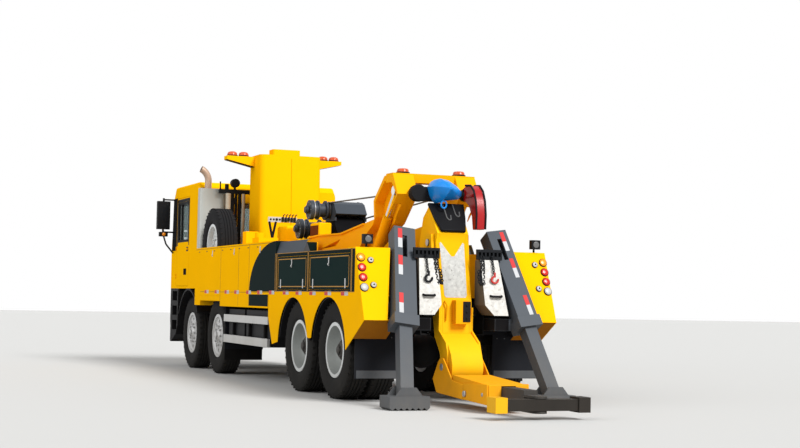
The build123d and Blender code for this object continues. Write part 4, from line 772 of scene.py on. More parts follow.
# Lamps: rear corners, wings, work lamps and headlamps. rear: height, distance in from the side, radius, colour.
# A rim is its lamp's radius, its own width and its depth
lamp = {"rear": ((1.760, 0.050, 0.050, "lensAmber"), (1.640, 0.050, 0.050, "lensRed"),
                 (1.520, 0.050, 0.050, "lensRed"), (1.400, 0.050, 0.050, "lensClear"),
                 (1.730, 0.171, 0.036, "lensClear"), (1.430, 0.171, 0.036, "lensClear")),
        "panelX": -0.920, "panelTop": 1.889, "panelFoot": 1.015, "panelRun": 0.35, "normal": (-0.928, 0, 0.372),
        "rearRim": (0.005, 0.014), "eyeBelow": 0.04, "eye": ((0.024, 0), (0.024, 0.011), (0.031, 0.009), (0.032, 0)),
        "beaconX": 6.25, "beaconY": (0.895, 0.7), "beaconZ": 3.601, "beaconRim": (0.086, 0.006, 0.018),
        "beacon": ((0.001, 0), (0.001, 0.084), (0.045, 0.082), (0.066, 0.068), (0.078, 0.04), (0.081, 0)),
        "workIn": 0.145, "workPost": (-0.9, 1.8895, 1.95, 0.013), "workX": (-0.968, -0.895), "workHalf": 0.06,
        "workZ": (1.93, 2.045), "workLens": (-0.9675, 1.987, 0.042, 0.008),
        "head": ((0.83, 0.057), (0.925, 0.042)), "headX": 9.0865, "headRimX": 9.0855, "headZ": 0.675,
        "headDepth": 0.02, "headRim": (0.008, 0.016),
        "headBox": ((9.0853, 9.087), (0.7805, 0.9595), (0.591, 0.759))}
leanSlope = lamp["panelRun"] / (lamp["panelTop"] - lamp["panelFoot"])
lenses = {name: bmesh.new() for name in ("lensAmber", "lensRed", "lensClear", "lensBeacon", "lensGrey")}
bezels = bmesh.new()


def addLens(form, centre, axis, radius, depth=0.026, sectors=28):
    dome = ((0.55, 0.96), (0.8, 0.86), (0.95, 0.6), (1, 0))
    addLathe(form, [(0.0005, 0), (0.0005, radius * 0.97), *((depth * a, radius * b) for a, b in dome)], centre, axis,
             sectors)


def addBezel(form, centre, axis, radius, width, depth):
    addLathe(form, [(0, radius * 0.96), (0, radius + width), (depth * 0.6, radius + width),
                    (depth, radius + width * 0.4), (depth, radius * 0.98)], centre, axis, 28, closed=True)


for side, hand in sides:
    for z, inset, radius, colour in lamp["rear"]:
        place = (lamp["panelX"] - leanSlope * (lamp["panelTop"] - z), side * (halfWidth - inset), z)
        addLens(lenses[colour], place, lamp["normal"], radius)
        addBezel(bezels, place, lamp["normal"], radius, *lamp["rearRim"])
        if radius < lamp["eyeBelow"]:
            addLathe(bezels, lamp["eye"], place, lamp["normal"], 16)
    for y in lamp["beaconY"]:
        place = (lamp["beaconX"], side * y, lamp["beaconZ"])
        addBezel(bezels, place, (0, 0, 1), *lamp["beaconRim"])
        addLathe(lenses["lensBeacon"], lamp["beacon"], place, (0, 0, 1), 28)
    y = side * (halfWidth - lamp["workIn"])
    x, foot, top, radius = lamp["workPost"]
    addRod(bezels, (x, y, foot), (x, y, top), radius)
    addBlock(bezels, lamp["workX"], about(y, lamp["workHalf"]), lamp["workZ"])
    x, z, radius, depth = lamp["workLens"]
    addLens(lenses["lensGrey"], (x, y, z), (-1, 0, 0), radius, depth)
    for y, radius in lamp["head"]:
        addLens(lenses["lensClear"], (lamp["headX"], side * y, lamp["headZ"]), (1, 0, 0), radius,
                lamp["headDepth"])
        addBezel(bezels, (lamp["headRimX"], side * y, lamp["headZ"]), (1, 0, 0), radius, *lamp["headRim"])
    x, y, z = lamp["headBox"]
    addBlock(bezels, x, onSide(side, *y), z)
for colour, form in lenses.items():
    finishPiece(form, "lamps" + colour[4:], colour, stands=("lamps",))
finishPiece(bezels, "lampRims", "plainBlack", stands=("lamps",))

# Beacons on the boom's cross head
crossBeacon = {"x": -0.19, "y": 0.39, "z": 2.8665,
               "lens": ((0.02, 0), (0.02, 0.078), (0.0476, 0.0741), (0.06256, 0.0624), (0.068, 0.0312), (0.070, 0)),
               "base": ((0, 0), (0, 0.09), (0.016, 0.09), (0.022, 0.082), (0.022, 0))}
form, base = bmesh.new(), bmesh.new()
for side, hand in sides:
    place = (crossBeacon["x"], side * crossBeacon["y"], crossBeacon["z"])
    addLathe(form, crossBeacon["lens"], place, (0, 0, 1), 28)
    addLathe(base, crossBeacon["base"], place, (0, 0, 1), 28)
finishPiece(form, "boomBeacons", "lensBeacon", "boom")
finishPiece(base, "boomBeaconBases", "plainBlack", "boom")
print("lamps made")

# Sides: bodies with pods at the rear. Outlines are ahead of the rear axle and height
sideBody = {"inner": 0.640, "wellY": (0.900, 1.250), "openingFace": 1.235, "podInner": ((1.90, 0.825), (0.98, 0.985)),
            "front": ((2.384, 2.06), (7.05, 2.06), (7.05, 1.10), (6.67, 1.10), (6.67, 1.26), (5.37, 1.26),
                      (5.37, 1.10), (2.69, 1.10), (2.69, 1.30), (2.384, 1.30)),
            "well": ((6.863, 2.06), (6.863, 1.487), (5.597, 1.487), (5.597, 2.06)),
            "rear": ((-0.65, 1.87), (2.385, 1.87), (2.385, 1.30), (-0.65, 1.30)),
            "pod": ((-0.65, 1.889), (-0.92, 1.889), (-1.27, 1.015), (-0.905, 1.30), (-0.65, 1.30)),
            "podNotch": ((-0.65, 1.37), (-0.74, 1.37), (-0.74, 1.82), (-0.65, 1.82)),
            "strips": (((-0.65, 2.385), (1.82, 1.87)), ((-0.65, 2.385), (1.30, 1.37)), ((0.83, 0.94), (1.36, 1.83)),
                       ((2.25, 2.385), (1.36, 1.83))),
            "skirt": ((5.37, 6.67), (1.18, 1.262)), "skirtThick": 0.028}


def addPod(form, outline, side, face):
    (z0, y0), (z1, y1) = sideBody["podInner"]
    addLoft(form, [[at(x, side * (y0 + (z0 - z) * (y1 - y0) / (z0 - z1)), z) for x, z in outline],
                   [at(x, side * face, z) for x, z in outline]])


form = bmesh.new()
for side, hand in sides:
    full, face = sideBody["front"], sideBody["openingFace"]
    notched = full[:1] + sideBody["well"][::-1] + full[1:]
    for outline, y in ((full, (sideBody["inner"], sideBody["wellY"][0])), (full, (sideBody["wellY"][1], halfWidth)),
                       (notched, sideBody["wellY"]), (sideBody["rear"], (sideBody["inner"], face))):
        addSlab(form, outline, onSide(side, *y))
    outer = onSide(side, face, halfWidth)
    addSlab(form, sideBody["pod"] + sideBody["podNotch"], outer)
    for x, z in sideBody["strips"]:
        addBlock(form, x, outer, z)
    x, z = sideBody["skirt"]
    addBlock(form, x, onSide(side, halfWidth - sideBody["skirtThick"], halfWidth), z)
    addPod(form, sideBody["pod"], side, face)
finishPiece(form, "sideBodies", "bodyYellow", stands=("side_bodies",))

# Mudguards: a yellow skin with two arches, dark liners and blocks inside it, and tails below the corners in a darker
# orange-brown that paints the shade on the guards' undersides.
# An arch is its centre, radius and first and last angle; an inner block its three spans
mudguard = {"arches": ((1.525, 0.600, 0.665, 4, 167.5), (0.05, 0.600, 0.68, 12, 176.5)), "steps": 20, "skin": 0.007,
            "front": ((2.67, 1.2997), (2.67, 0.98), (2.45, 0.60), (2.19, 0.640)), "point": (0.80, 0.735),
            "rear": ((-0.63, 0.64), (-1.2697, 1.0148), (-0.9048, 1.2997)),
            "liner": (0.655, 0.668, 8, 172), "linerY": (0.57, 1.2675), "linerSteps": 24,
            "blocks": (((-0.64, 2.66), (0.57, 1.2675), (1.281, 1.2995)), ((0.77, 0.81), (0.57, 1.2675), (0.80, 1.29)),
                       ((2.60, 2.64), (0.57, 1.2675), (0.80, 1.29)), ((0.745, 0.845), (1.235, 1.2675), (0.80, 1.29)),
                       ((2.35, 2.45), (1.235, 1.2675), (0.72, 1.29)), ((-0.99, -0.90), (0.66, 0.85), (0.93, 1.0)),
                       ((5.375, 6.665), (0.645, 1.246), (1.243, 1.2597))),
            "tail": ((-1.262, 1.016), (-0.875, 0.782), (-0.875, 0.791), (-1.262, 1.025)), "tailY": (0.84, 1.267)}


def arcPoints(x, z, radius, start, end, steps):
    return [(x + radius * math.cos(math.radians(a)), z + radius * math.sin(math.radians(a)))
            for a in (start + (end - start) * n / steps for n in range(steps + 1))]


form, liners, tails = bmesh.new(), bmesh.new(), bmesh.new()
for side, hand in sides:
    first, second = (arcPoints(*arch, mudguard["steps"]) for arch in mudguard["arches"])
    outline = list(mudguard["front"]) + first + [mudguard["point"]] + second + list(mudguard["rear"])
    addSlab(form, outline, onSide(side, halfWidth, halfWidth - mudguard["skin"]))
    inner, outer, start, end = mudguard["liner"]
    for x in (axleX["rear_1"], axleX["rear_2"]):
        strip = arcPoints(x, tyre["radius"], inner, start, end, mudguard["linerSteps"])
        strip += arcPoints(x, tyre["radius"], outer, end, start, mudguard["linerSteps"])
        addSlab(liners, strip, onSide(side, *mudguard["linerY"]))
    for x, y, z in mudguard["blocks"]:
        addBlock(liners, x, onSide(side, *y), z)
    addSlab(tails, mudguard["tail"], onSide(side, *mudguard["tailY"]))
finishPiece(form, "mudguards", "bodyYellow", stands=("fenders",))
finishPiece(liners, "mudguardLiners", "plainBlack", stands=("fenders",))
finishPiece(tails, "mudguardShadedTails", "tailShadeBrown", stands=("fenders",))

# On the sides: a dark sweep, seams, reflectors, latches and gold lines, the gold a painted reflection on aluminium
# trim. Depths are measured from the side's face, and frames and gold rails are spans along the truck and up it
sidePanel = {"skin": (0.0003, 0.0012), "ridge": (0.0008, 0.004), "tape": (0.0003, 0.002),
             "sweepFoot": (2.352, 1.336), "sweepReach": (1.338, 0.717), "sweepSteps": 16,
             "sweepBlock": ((3.69, 1.295), (2.70, 1.295), (2.70, 1.125), (3.69, 1.125)),
             "seamX": (5.37, 4.30, 3.72), "seamHalf": 0.003, "seamSpan": (1.12, 2.04),
             "longSeams": ((1.325, (2.40, 6.66)), (2.035, (2.40, 7.03))), "longHalf": 0.0025,
             "frames": (((-0.915, 2.36), (1.822, 1.868)), ((-0.915, 2.36), (1.345, 1.3695)),
                        ((-0.915, -0.7405), (1.3695, 1.822)), ((0.8305, 0.9395), (1.3695, 1.822)),
                        ((2.2505, 2.36), (1.3695, 1.822))),
             "stepFace": ((2.3825, 2.3838), (0.66, 1.271), (1.8705, 2.058)),
             "goldRails": (((-0.915, 2.37), (1.866, 1.874)), ((2.36, 2.37), (1.345, 1.874)),
                           ((-0.915, 2.37), (1.341, 1.348))),
             "goldPosts": (2.30, 0.885, -0.80), "postHalf": 0.021, "postZ": (1.345, 1.874),
             "groove": (0.003, 0.005), "grooveHalf": 0.004, "grooveZ": (1.35, 1.87),
             "stakes": 9, "stakeStart": 2.75, "stakePitch": 0.5, "stakeLength": 0.07, "stakeZ": (1.985, 1.998),
             "reflectors": (6.24, 5.58, 4.96, 4.38, 3.71, 3.12, 2.52, 1.85, 1.27, 0.68, 0.07, -0.56),
             "reflectorSize": (0.13, 0.052), "reflectorZ": 1.30,
             "latches": (3.136, 4.566, 5.9), "latchHalf": 0.014, "latch": (0.0003, 0.006), "latchZ": (1.90, 2.0),
             "button": (0.004, 0.016), "buttonZ": 1.925, "buttonRadius": 0.012}
darkSweep, seams, redTape, whiteTape, straps, gold = (bmesh.new() for _ in range(6))
for side, hand in sides:
    skin, ridge = outboard(side, *sidePanel["skin"]), outboard(side, *sidePanel["ridge"])
    (x, z), (length, height), steps = sidePanel["sweepFoot"], sidePanel["sweepReach"], sidePanel["sweepSteps"]
    curve = [(x + length * math.cos(a), z + height * math.sin(a))
             for a in (math.radians(90 * n / steps) for n in range(steps + 1))]
    addSlab(darkSweep, curve + [(x, z)], skin)
    addSlab(darkSweep, sidePanel["sweepBlock"], skin)
    for x in sidePanel["seamX"]:
        addBlock(seams, about(x, sidePanel["seamHalf"]), skin, sidePanel["seamSpan"])
    for z, span in sidePanel["longSeams"]:
        addBlock(seams, span, skin, about(z, sidePanel["longHalf"]))
    for span, z in sidePanel["frames"]:
        addBlock(darkSweep, span, skin, z)
    x, y, z = sidePanel["stepFace"]
    addBlock(darkSweep, x, onSide(side, *y), z)
    for span, z in sidePanel["goldRails"]:
        addBlock(gold, span, ridge, z)
    for x in sidePanel["goldPosts"]:
        addBlock(gold, about(x, sidePanel["postHalf"]), ridge, sidePanel["postZ"])
        addBlock(darkSweep, about(x, sidePanel["grooveHalf"]),
                 outboard(side, *sidePanel["groove"]), sidePanel["grooveZ"])
    for n in range(sidePanel["stakes"]):
        x = sidePanel["stakeStart"] + sidePanel["stakePitch"] * n
        addBlock(seams, (x, x + sidePanel["stakeLength"]), skin, sidePanel["stakeZ"])
    wide, tall = sidePanel["reflectorSize"]
    z, tape = sidePanel["reflectorZ"], outboard(side, *sidePanel["tape"])
    for x in sidePanel["reflectors"]:
        addBlock(redTape, (x, x + wide), tape, (z, z + tall))
        addBlock(whiteTape, (x - wide, x), tape, (z, z + tall))
    for x in sidePanel["latches"]:
        addBlock(straps, about(x, sidePanel["latchHalf"]), outboard(side, *sidePanel["latch"]),
                 sidePanel["latchZ"])
        foot, end = ((x, side * (halfWidth + a), sidePanel["buttonZ"]) for a in sidePanel["button"])
        addRod(straps, foot, end, sidePanel["buttonRadius"], 12)
finishPiece(darkSweep, "sideSweeps", "swooshBlack")
finishPiece(seams, "sideSeams", "plainBlack")
finishPiece(redTape, "sideReflectorsRed", "tapeRed")
finishPiece(whiteTape, "sideReflectorsWhite", "tapeWhite")
finishPiece(straps, "sideLatches", "railAluminium", edge=0.002)
finishPiece(gold, "sideGoldReflectionLines", "trimReflectionGold")

# Locker doors: a frame of trim in gold, a painted reflection on aluminium, two hinges at the foot and a strap latch
# with two buttons, as drop, reach and radius
locker = {"front": (0.946, 2.244), "rear": (-0.734, 0.824), "z": (1.384, 1.814), "strip": 0.012, "inset": 0.022,
          "footUp": 0.02, "frame": (0.0003, 0.003), "hingeIn": 0.13, "hingeHalf": 0.018, "hinge": (0.0003, 0.005),
          "hingeZ": (-0.015, 0.105), "boltZ": (0.02, 0.085), "bolts": (2, 0.008, 0.005, 0.006),
          "strapHalf": 0.013, "strap": (0.003, 0.008), "strapZ": (-0.12, -0.006),
          "buttonFoot": 0.006, "buttons": ((0.1, 0.02, 0.014), (0.03, 0.014, 0.009))}
for place in ("front", "rear"):
    for side, hand in sides:
        gold, metal, strap = bmesh.new(), bmesh.new(), bmesh.new()
        low, high = locker[place][0] + locker["inset"], locker[place][1] - locker["inset"]
        foot, top, wide = locker["z"][0] + locker["footUp"], locker["z"][1] - locker["inset"], locker["strip"]
        proud, middle = outboard(side, *locker["frame"]), (low + high) / 2
        for z in (foot, top - wide):
            addBlock(gold, (low, high), proud, (z, z + wide))
        for x in (low, high - wide):
            addBlock(gold, (x, x + wide), proud, (foot, top))
        for x in (low + locker["hingeIn"], high - locker["hingeIn"]):
            addBlock(metal, about(x, locker["hingeHalf"]), outboard(side, *locker["hinge"]),
                     [foot + a for a in locker["hingeZ"]])
            for z in locker["boltZ"]:
                addBolts(metal, (x, side * (halfWidth + locker["hinge"][1]), foot + z), (0, side, 0),
                         *locker["bolts"])
        addBlock(strap, about(middle, locker["strapHalf"]),
                 outboard(side, *locker["strap"]), [top + a for a in locker["strapZ"]])
        for drop, reach, radius in locker["buttons"]:
            addRod(strap, (middle, side * (halfWidth + locker["buttonFoot"]), top - drop),
                   (middle, side * (halfWidth + reach), top - drop), radius, 12)
        body = f"locker_door_{place}_{hand}"
        finishPiece(gold, f"lockerFrame_{place}_{hand}", "trimReflectionGold", body)
        finishPiece(metal, f"lockerHinges_{place}_{hand}", "steel", body)
        finishPiece(strap, f"lockerLatch_{place}_{hand}", "railAluminium", body, edge=0.002)

# Coaming: a thin plate that leans in above the front locker door, with a lip on top, on three brackets
coaming = {"x": (1.152, 2.382), "foot": (1.267, 1.8705), "top": (1.205, 2.038), "thick": 0.004, "lip": 0.04,
           "brackets": (1.2, 1.77, 2.34), "bracketHalf": 0.003, "bracketReach": 0.12, "bracketDrop": 0.01}
form = bmesh.new()
for side, hand in sides:
    (y0, z0), (y1, z1), t = coaming["foot"], coaming["top"], coaming["thick"]
    lip = side * (y1 - coaming["lip"])
    addSlab(form, [(side * y0, z0), (side * y1, z1), (side * (y1 - t), z1), (side * (y0 - t), z0)], coaming["x"], "x")
    addSlab(form, [(side * y1, z1), (side * y1, z1 + t), (lip, z1 + t), (lip, z1)], coaming["x"], "x")
    for x in coaming["brackets"]:
        addSlab(form, [(side * (y0 - t), z0), (side * (y1 - t), z1 - coaming["bracketDrop"]),
                       (side * (y0 - coaming["bracketReach"]), z0)],
                about(x, coaming["bracketHalf"]), "x")
finishPiece(form, "coamingPanels", "coamingSlate", stands=("side_bodies",))
print("sides made")

# Deck: dark wing undersides, pale gantry tubes (across, radius, foot), the stack's mouth and yellow hoods
deck = {"wing": ((0.535, 3.4305), (1.006, 3.5385), (1.006, 3.5355), (0.535, 3.4275)), "wingX": (6.152, 6.348),
        "tubes": ((0.82, 0.042, 2.0605), (-0.455, 0.03, 1.3005), (0.553, 0.026, 1.3005)), "tubeTop": 3.009,
        "gantryX": 6.72, "mouth": (6.97, 1.2395, 3.4197), "mouthAxis": (0, 0.914, 0.407),
        "mouthProfile": ((-0.03, 0), (-0.03, 0.0515), (-0.004, 0.0515), (-0.004, 0)), "top": 1.3005,
        "hoods": (((4.62, 5.15), (-0.42, 0.42), (1.3005, 2.395)), ((3.97, 4.60), (-0.46, 0.44), (1.3005, 2.35)))}
# Valve bank: a white block on a forked post, with ports, and levers with a hose each on the first of them.
# Lever and hose are measured from the block's front edge
valves = {"block": ((4.975, 5.0), (0.14, 0.62), (2.455, 2.54)), "ports": 9, "margin": 0.04, "portUp": 0.045,
          "portX": (0.001, -0.004), "portRadius": (0.022, 0.016, 0.016), "levers": 5, "leverX": (-0.03, -0.001),
          "leverY": (-0.012, 0.02), "leverLift": 0.01, "leverDrop": 0.012,
          "hose": ((-0.015, 0, -0.02), (-0.03, 0, 0.03), (-0.02, -0.03, 0.045)), "hoseRadius": 0.009,
          "hoseBend": 0.02, "postIn": 0.012, "postY": 0.545, "forkY": (0.60, 0.49), "forkUp": 0.01, "forkFoot": 2.20,
          "forkRadius": 0.02, "postTop": 2.22, "postRadius": 0.022}
under, tubes, darkParts, bank, hoods = (bmesh.new() for _ in range(5))
for side, hand in sides:
    addSlab(under, [(side * a, b) for a, b in deck["wing"]], deck["wingX"], "x")
for y, radius, foot in deck["tubes"]:
    addRod(tubes, (deck["gantryX"], y, foot), (deck["gantryX"], y, deck["tubeTop"]), radius, 20)
addLathe(darkParts, deck["mouthProfile"], deck["mouth"], deck["mouthAxis"], 28)
addBlock(bank, *valves["block"])
(x0, x1), (y0, y1), (z0, z1) = valves["block"]
for n in range(valves["ports"]):
    y = y0 + valves["margin"] + n * (y1 - y0 - 2 * valves["margin"]) / (valves["ports"] - 1)
    back, front = ((x0 + a, y, z0 + valves["portUp"]) for a in valves["portX"])
    addRod(darkParts, back, front, valves["portRadius"][n % 3], 14)
    if n < valves["levers"]:
        addBlock(darkParts, [x0 + a for a in valves["leverX"]], [y + a for a in valves["leverY"]],
                 (z0 + valves["leverLift"] * (n % 3), z1 - valves["leverDrop"] * (n % 2)))
        addSweep(darkParts, [(x0 + a, y + b, z1 + c) for a, b, c in valves["hose"]], valves["hoseRadius"],
                 valves["hoseBend"])
x, y = x0 + valves["postIn"], valves["postY"]
for forkY in valves["forkY"]:
    addRod(darkParts, (x, forkY, z0 + valves["forkUp"]), (x, y, valves["forkFoot"]), valves["forkRadius"], 12)
addRod(darkParts, (x, y, valves["postTop"]), (x, y, deck["top"]), valves["postRadius"], 12)
for box in deck["hoods"]:
    addBlock(hoods, *box)
finishPiece(under, "wingUndersides", "plainBlack")
finishPiece(tubes, "gantryTubes", "tubeBeige")
finishPiece(bank, "valveBank", "tapeWhite", edge=0.003)
finishPiece(darkParts, "deckFittings", "plainBlack")
finishPiece(hoods, "deckHoods", "bodyYellow", edge=0.035, steps=3)

# Winches: a ring with bolts at each drum's end, its pale grey a painted highlight on the near flange, rope on the
# drums, a flat black shell under the upper drum that paints the shade there, and the boom's heel with a maroon plate
# of painted shade on its side.
# drums: ahead, height, the ring's radius, and where the rope starts across the truck
winch = {"drums": ((3.1, 2.56, 0.147, -0.20), (3.6, 2.30, 0.152, -0.283)), "ringY": 0.500, "ringWide": 0.02,
         "ringHalf": 0.004, "boltY": 0.5605, "bolts": (8, 0.115, 0.009, 0.01),
         "rope": {"Turns": 20.0, "Drum Radius": 0.113, "Width": 0.49, "Rope Radius": 0.0105},
         "shell": ((2.695, 2.2015), (3.755, 2.2015), (3.755, 2.243), (3.101, 2.444), (2.898, 2.444)),
         "shellHalf": 0.2425, "heelBlock": ((2.612, 3.03), (0.365, 0.555), (2.15, 2.355)),
         "heelShade": ((2.65, 3.01), (0.5552, 0.558), (2.165, 2.315))}
rings, block, box, ropes, shell = (bmesh.new() for _ in range(5))
for x, z, radius, start in winch["drums"]:
    inner, half = radius - winch["ringWide"], winch["ringHalf"]
    addLathe(rings, [(-half, inner), (-half, radius), (half, radius), (half, inner)], (x, winch["ringY"], z),
             (0, 1, 0), 40, closed=True)
    addBolts(rings, (x, winch["boltY"], z), (0, 1, 0), *winch["bolts"])
    turn = Matrix.Rotation(math.radians(-90), 4, "X")
    addMesh(ropes, grow("winding", winch["rope"]), Matrix.Translation(at(x, start, z)) @ turn)
addBlock(block, *winch["heelBlock"])
addBlock(box, *winch["heelShade"])
addSlab(shell, winch["shell"], (-winch["shellHalf"], winch["shellHalf"]))
# The rings' pale grey is a painted highlight on the drums' near flanges
finishPiece(rings, "winchHighlightRings", "winchHighlightGrey", "boom")
finishPiece(ropes, "winchRopes", "ropeSteel", "boom")
finishPiece(block, "heelBlock", "bodyYellow", "boom", edge=0.02)
# The maroon plate on the heel's side is painted shade
finishPiece(box, "heelShade", "shadeMaroon", "boom")
# The flat black shell is painted shade for the hollow under the upper drum
finishPiece(shell, "winchShadeShell", "flatBlack", "boom")
print("deck made")

# Cab: door glass in black frames, dark pillars, and a small mark below the window. Depths are from the middle
cab = {"window": ((7.74, 8.54), (2.20, 2.92)), "glassY": (1.216, 1.222), "frame": 0.045, "bar": (8.27, 8.295),
       "frameY": (1.199, 1.2465), "paneGap": 0.0005, "frameGap": 0.0004,
       "surround": (((7.70, 7.739), (2.14, 2.97)), ((8.541, 8.612), (2.14, 2.97)), ((7.70, 8.612), (2.921, 2.975))),
       "surroundY": (1.2452, 1.2465), "handle": ((7.745, 7.885), (1.2452, 1.2468), (2.035, 2.11)),
       "pillar": ((8.63, 2.06), (8.63, 3.01), (8.93, 3.01), (8.99, 2.06)),
       "mark": ((7.85, 8.05), (1.2453, 1.2485), (1.62, 1.73))}


def shrink(span, gap):
    return span[0] + gap, span[1] - gap


pillars = bmesh.new()
for side, hand in sides:
    pane, seal = bmesh.new(), bmesh.new()
    (x0, x1), (z0, z1), f = *cab["window"], cab["frame"]
    gap = cab["paneGap"]
    addBlock(pane, shrink((x0, x1), gap), onSide(side, *cab["glassY"]), shrink((z0, z1), gap))
    gap = cab["frameGap"]
    for x, z in (((x0, x0 + f), (z0, z1)), ((x1 - f, x1), (z0, z1)), ((x0, x1), (z0, z0 + f)),
                 ((x0, x1), (z1 - f, z1)), (cab["bar"], (z0, z1))):
        addBlock(seal, shrink(x, gap), onSide(side, *cab["frameY"]), shrink(z, gap))
    for x, z in cab["surround"]:
        addBlock(seal, x, onSide(side, *cab["surroundY"]), z)
    for form, (x, y, z) in ((seal, cab["handle"]), (pillars, cab["mark"])):
        addBlock(form, x, onSide(side, *y), z)
    addSlab(pillars, cab["pillar"], onSide(side, *cab["surroundY"]))
    finishPiece(pane, f"doorGlass_{hand}", "cabGlass", f"door_{hand}")
    finishPiece(seal, f"doorFrame_{hand}", "plainBlack", f"door_{hand}", edge=0.004)
finishPiece(pillars, "cabPillars", "flatBlack")

# Mirrors: two glasses, a bent arm, and a lamp in the arm's foot
mirror = {"y": 1.455, "glassX": (8.7957, 8.7997), "glassHalf": 0.098, "glassZ": ((2.60, 2.945), (2.465, 2.585)),
          "arm": ((8.83, 1.455, 2.44), (8.80, 1.455, 2.33), (8.82, 1.40, 2.18), (8.84, 1.262, 2.02)),
          "armRadius": 0.016, "armBend": 0.08, "footX": (8.77, 8.87), "footHalf": 0.075, "footZ": (2.318, 2.40),
          "lamp": ((0, 0), (0, 0.032), (0.014, 0.03), (0.022, 0.02), (0.024, 0)), "lampX": 8.7697, "lampZ": 2.358}
mirrors, mirrorGlass, amber = bmesh.new(), bmesh.new(), bmesh.new()
for side, hand in sides:
    y, half = side * mirror["y"], mirror["glassHalf"]
    for z in mirror["glassZ"]:
        addBlock(mirrorGlass, mirror["glassX"], about(y, half), z)
    addSweep(mirrors, [(a, side * b, c) for a, b, c in mirror["arm"]], mirror["armRadius"], mirror["armBend"])
    addBlock(mirrors, mirror["footX"], about(y, mirror["footHalf"]), mirror["footZ"])
    addLathe(amber, mirror["lamp"], (mirror["lampX"], y, mirror["lampZ"]), (-1, 0, 0), 20)
finishPiece(mirrors, "mirrorArms", "plainBlack", edge=0.006)
finishPiece(mirrorGlass, "mirrorGlass", "gloss")
finishPiece(amber, "mirrorLamps", "lensAmber")

# Inside: dashboard in three blocks, seat stands, and a wheel on a leaning column
interior = {"dash": (((8.74, 8.98), (-1.15, 1.15), (1.848, 2.10)), ((8.72, 8.98), (-1.12, 1.12), (2.09, 2.146)),
                     ((8.78, 8.96), (-0.3, 0.3), (1.4283, 1.86))),
            "seatY": 0.62, "standHalf": 0.2, "stands": (((7.66, 8.06), (1.4283, 1.62)), ((7.60, 7.64), (1.60, 2.40))),
            "column": ((8.56, 0.62, 2.165), (8.76, 0.62, 2.03), 0.03), "wheel": (8.55, 0.62, 2.17), "wheelR": 0.215,
            "wheelAxis": (0.2, 0, -0.135), "wheelUp": (0.135, 0, 0.2), "gripR": 0.016, "gripPoints": 28,
            "spokes": (0, 120, 240), "spokeR": 0.012, "boss": ((-0.03, 0), (-0.03, 0.05), (0.01, 0.06), (0.02, 0))}
form, wheelForm = bmesh.new(), bmesh.new()
for box in interior["dash"]:
    addBlock(form, *box)
for side, hand in sides:
    y = side * interior["seatY"]
    for x, z in interior["stands"]:
        addBlock(form, x, about(y, interior["standHalf"]), z)
addRod(wheelForm, *interior["column"])
up, middle = Vector(interior["wheelUp"]).normalized(), Vector(interior["wheel"])


def onWheel(angle):
    return tuple(middle + (up * math.cos(angle) + Vector((0, 1, 0)) * math.sin(angle)) * interior["wheelR"])


addSweep(wheelForm, [onWheel(math.tau * n / interior["gripPoints"]) for n in range(interior["gripPoints"])],
         interior["gripR"], loop=True)
for angle in interior["spokes"]:
    addRod(wheelForm, tuple(middle), onWheel(math.radians(angle)), interior["spokeR"], 10)
addLathe(wheelForm, interior["boss"], tuple(middle), tuple(Vector(interior["wheelAxis"]).normalized()), 20)
finishPiece(form, "dashboard", "dashPlastic", edge=0.012, stands=("cab_interior",))
finishPiece(wheelForm, "steeringWheel", "plainBlack", stands=("cab_interior",))

# Seat pads, crowned on the outer face and with two seams pressed into it. pads: name, centre, size, lean
pad = {"steps": 12, "crown": 0.03, "fullness": 0.35, "pinch": 0.04, "seamDepth": 0.006, "seamAt": 0.42,
       "seamWide": 0.05,
       "pads": (("seatCushion", (7.86, 1.70), (0.50, 0.50, 0.13), -4),
                ("seatBack", (7.71, 2.08), (0.62, 0.47, 0.11), 80),
                ("seatHead", (7.62, 2.50), (0.17, 0.27, 0.09), 80))}


def padPoint(u, v, face, size, look):
    swell = (1 - u ** 4) * (1 - v ** 4)
    x = u * size[0] / 2 * (1 - look["pinch"] * v * v)
    y = v * size[1] / 2 * (1 - look["pinch"] * u * u)
    seam = look["seamDepth"] * math.exp(-((abs(v) - look["seamAt"]) / look["seamWide"]) ** 2)
    z = face * (size[2] / 2 * swell ** look["fullness"]) + (look["crown"] * swell - seam if face > 0 else 0)
    return Vector((x, y, 0 if max(abs(u), abs(v)) == 1 else z))


def addPad(form, centre, size, lean, look):
    steps, places = look["steps"], range(look["steps"] + 1)
    turn, place = Matrix.Rotation(math.radians(lean), 3, "Y"), at(*centre)
    outer, inner = ([[place + turn @ padPoint(2 * i / steps - 1, 2 * j / steps - 1, face, size, look)
                      for j in places] for i in places] for face in (1, -1))
    top = [[form.verts.new(p) for p in row] for row in outer]
    low = [[top[i][j] if i in (0, steps) or j in (0, steps) else form.verts.new(inner[i][j]) for j in places]
           for i in places]
    for layer, flip in ((top, False), (low, True)):
        for i in range(steps):
            for j in range(steps):
                ring = [layer[i][j], layer[i + 1][j], layer[i + 1][j + 1], layer[i][j + 1]]
                form.faces.new(ring[::-1] if flip else ring)


for side, hand in sides:
    for name, (x, z), size, lean in pad["pads"]:
        form = bmesh.new()
        addPad(form, (x, side * interior["seatY"], z), size, lean, pad)
        finishPiece(form, f"{name}_{hand}", "trimFabric", stands=("cab_interior",))
print("cab made")

# Rear: tread plate on the boxes and the mast. Bars stand in rows over an outline
plate = {"pitch": 0.0275, "bar": (0.021, 0.0062, 0.0042), "columns": 13, "rows": 25}


def addPlate(form, outline, origin, across, upward):
    flat = bpy.data.meshes.new("flat")
    flat.from_pydata([(a, b, 0) for a, b in outline], [], [tuple(range(len(outline)))])
    values = {"Pitch": plate["pitch"], "Bar": plate["bar"], "Columns": plate["columns"], "Rows": plate["rows"]}
    across, upward = Vector(across).normalized(), Vector(upward).normalized()
    turn = Matrix((across, upward, across.cross(upward))).transposed().to_4x4()
    addMesh(form, grow("plate", values, flat), Matrix.Translation(at(*origin)) @ turn)


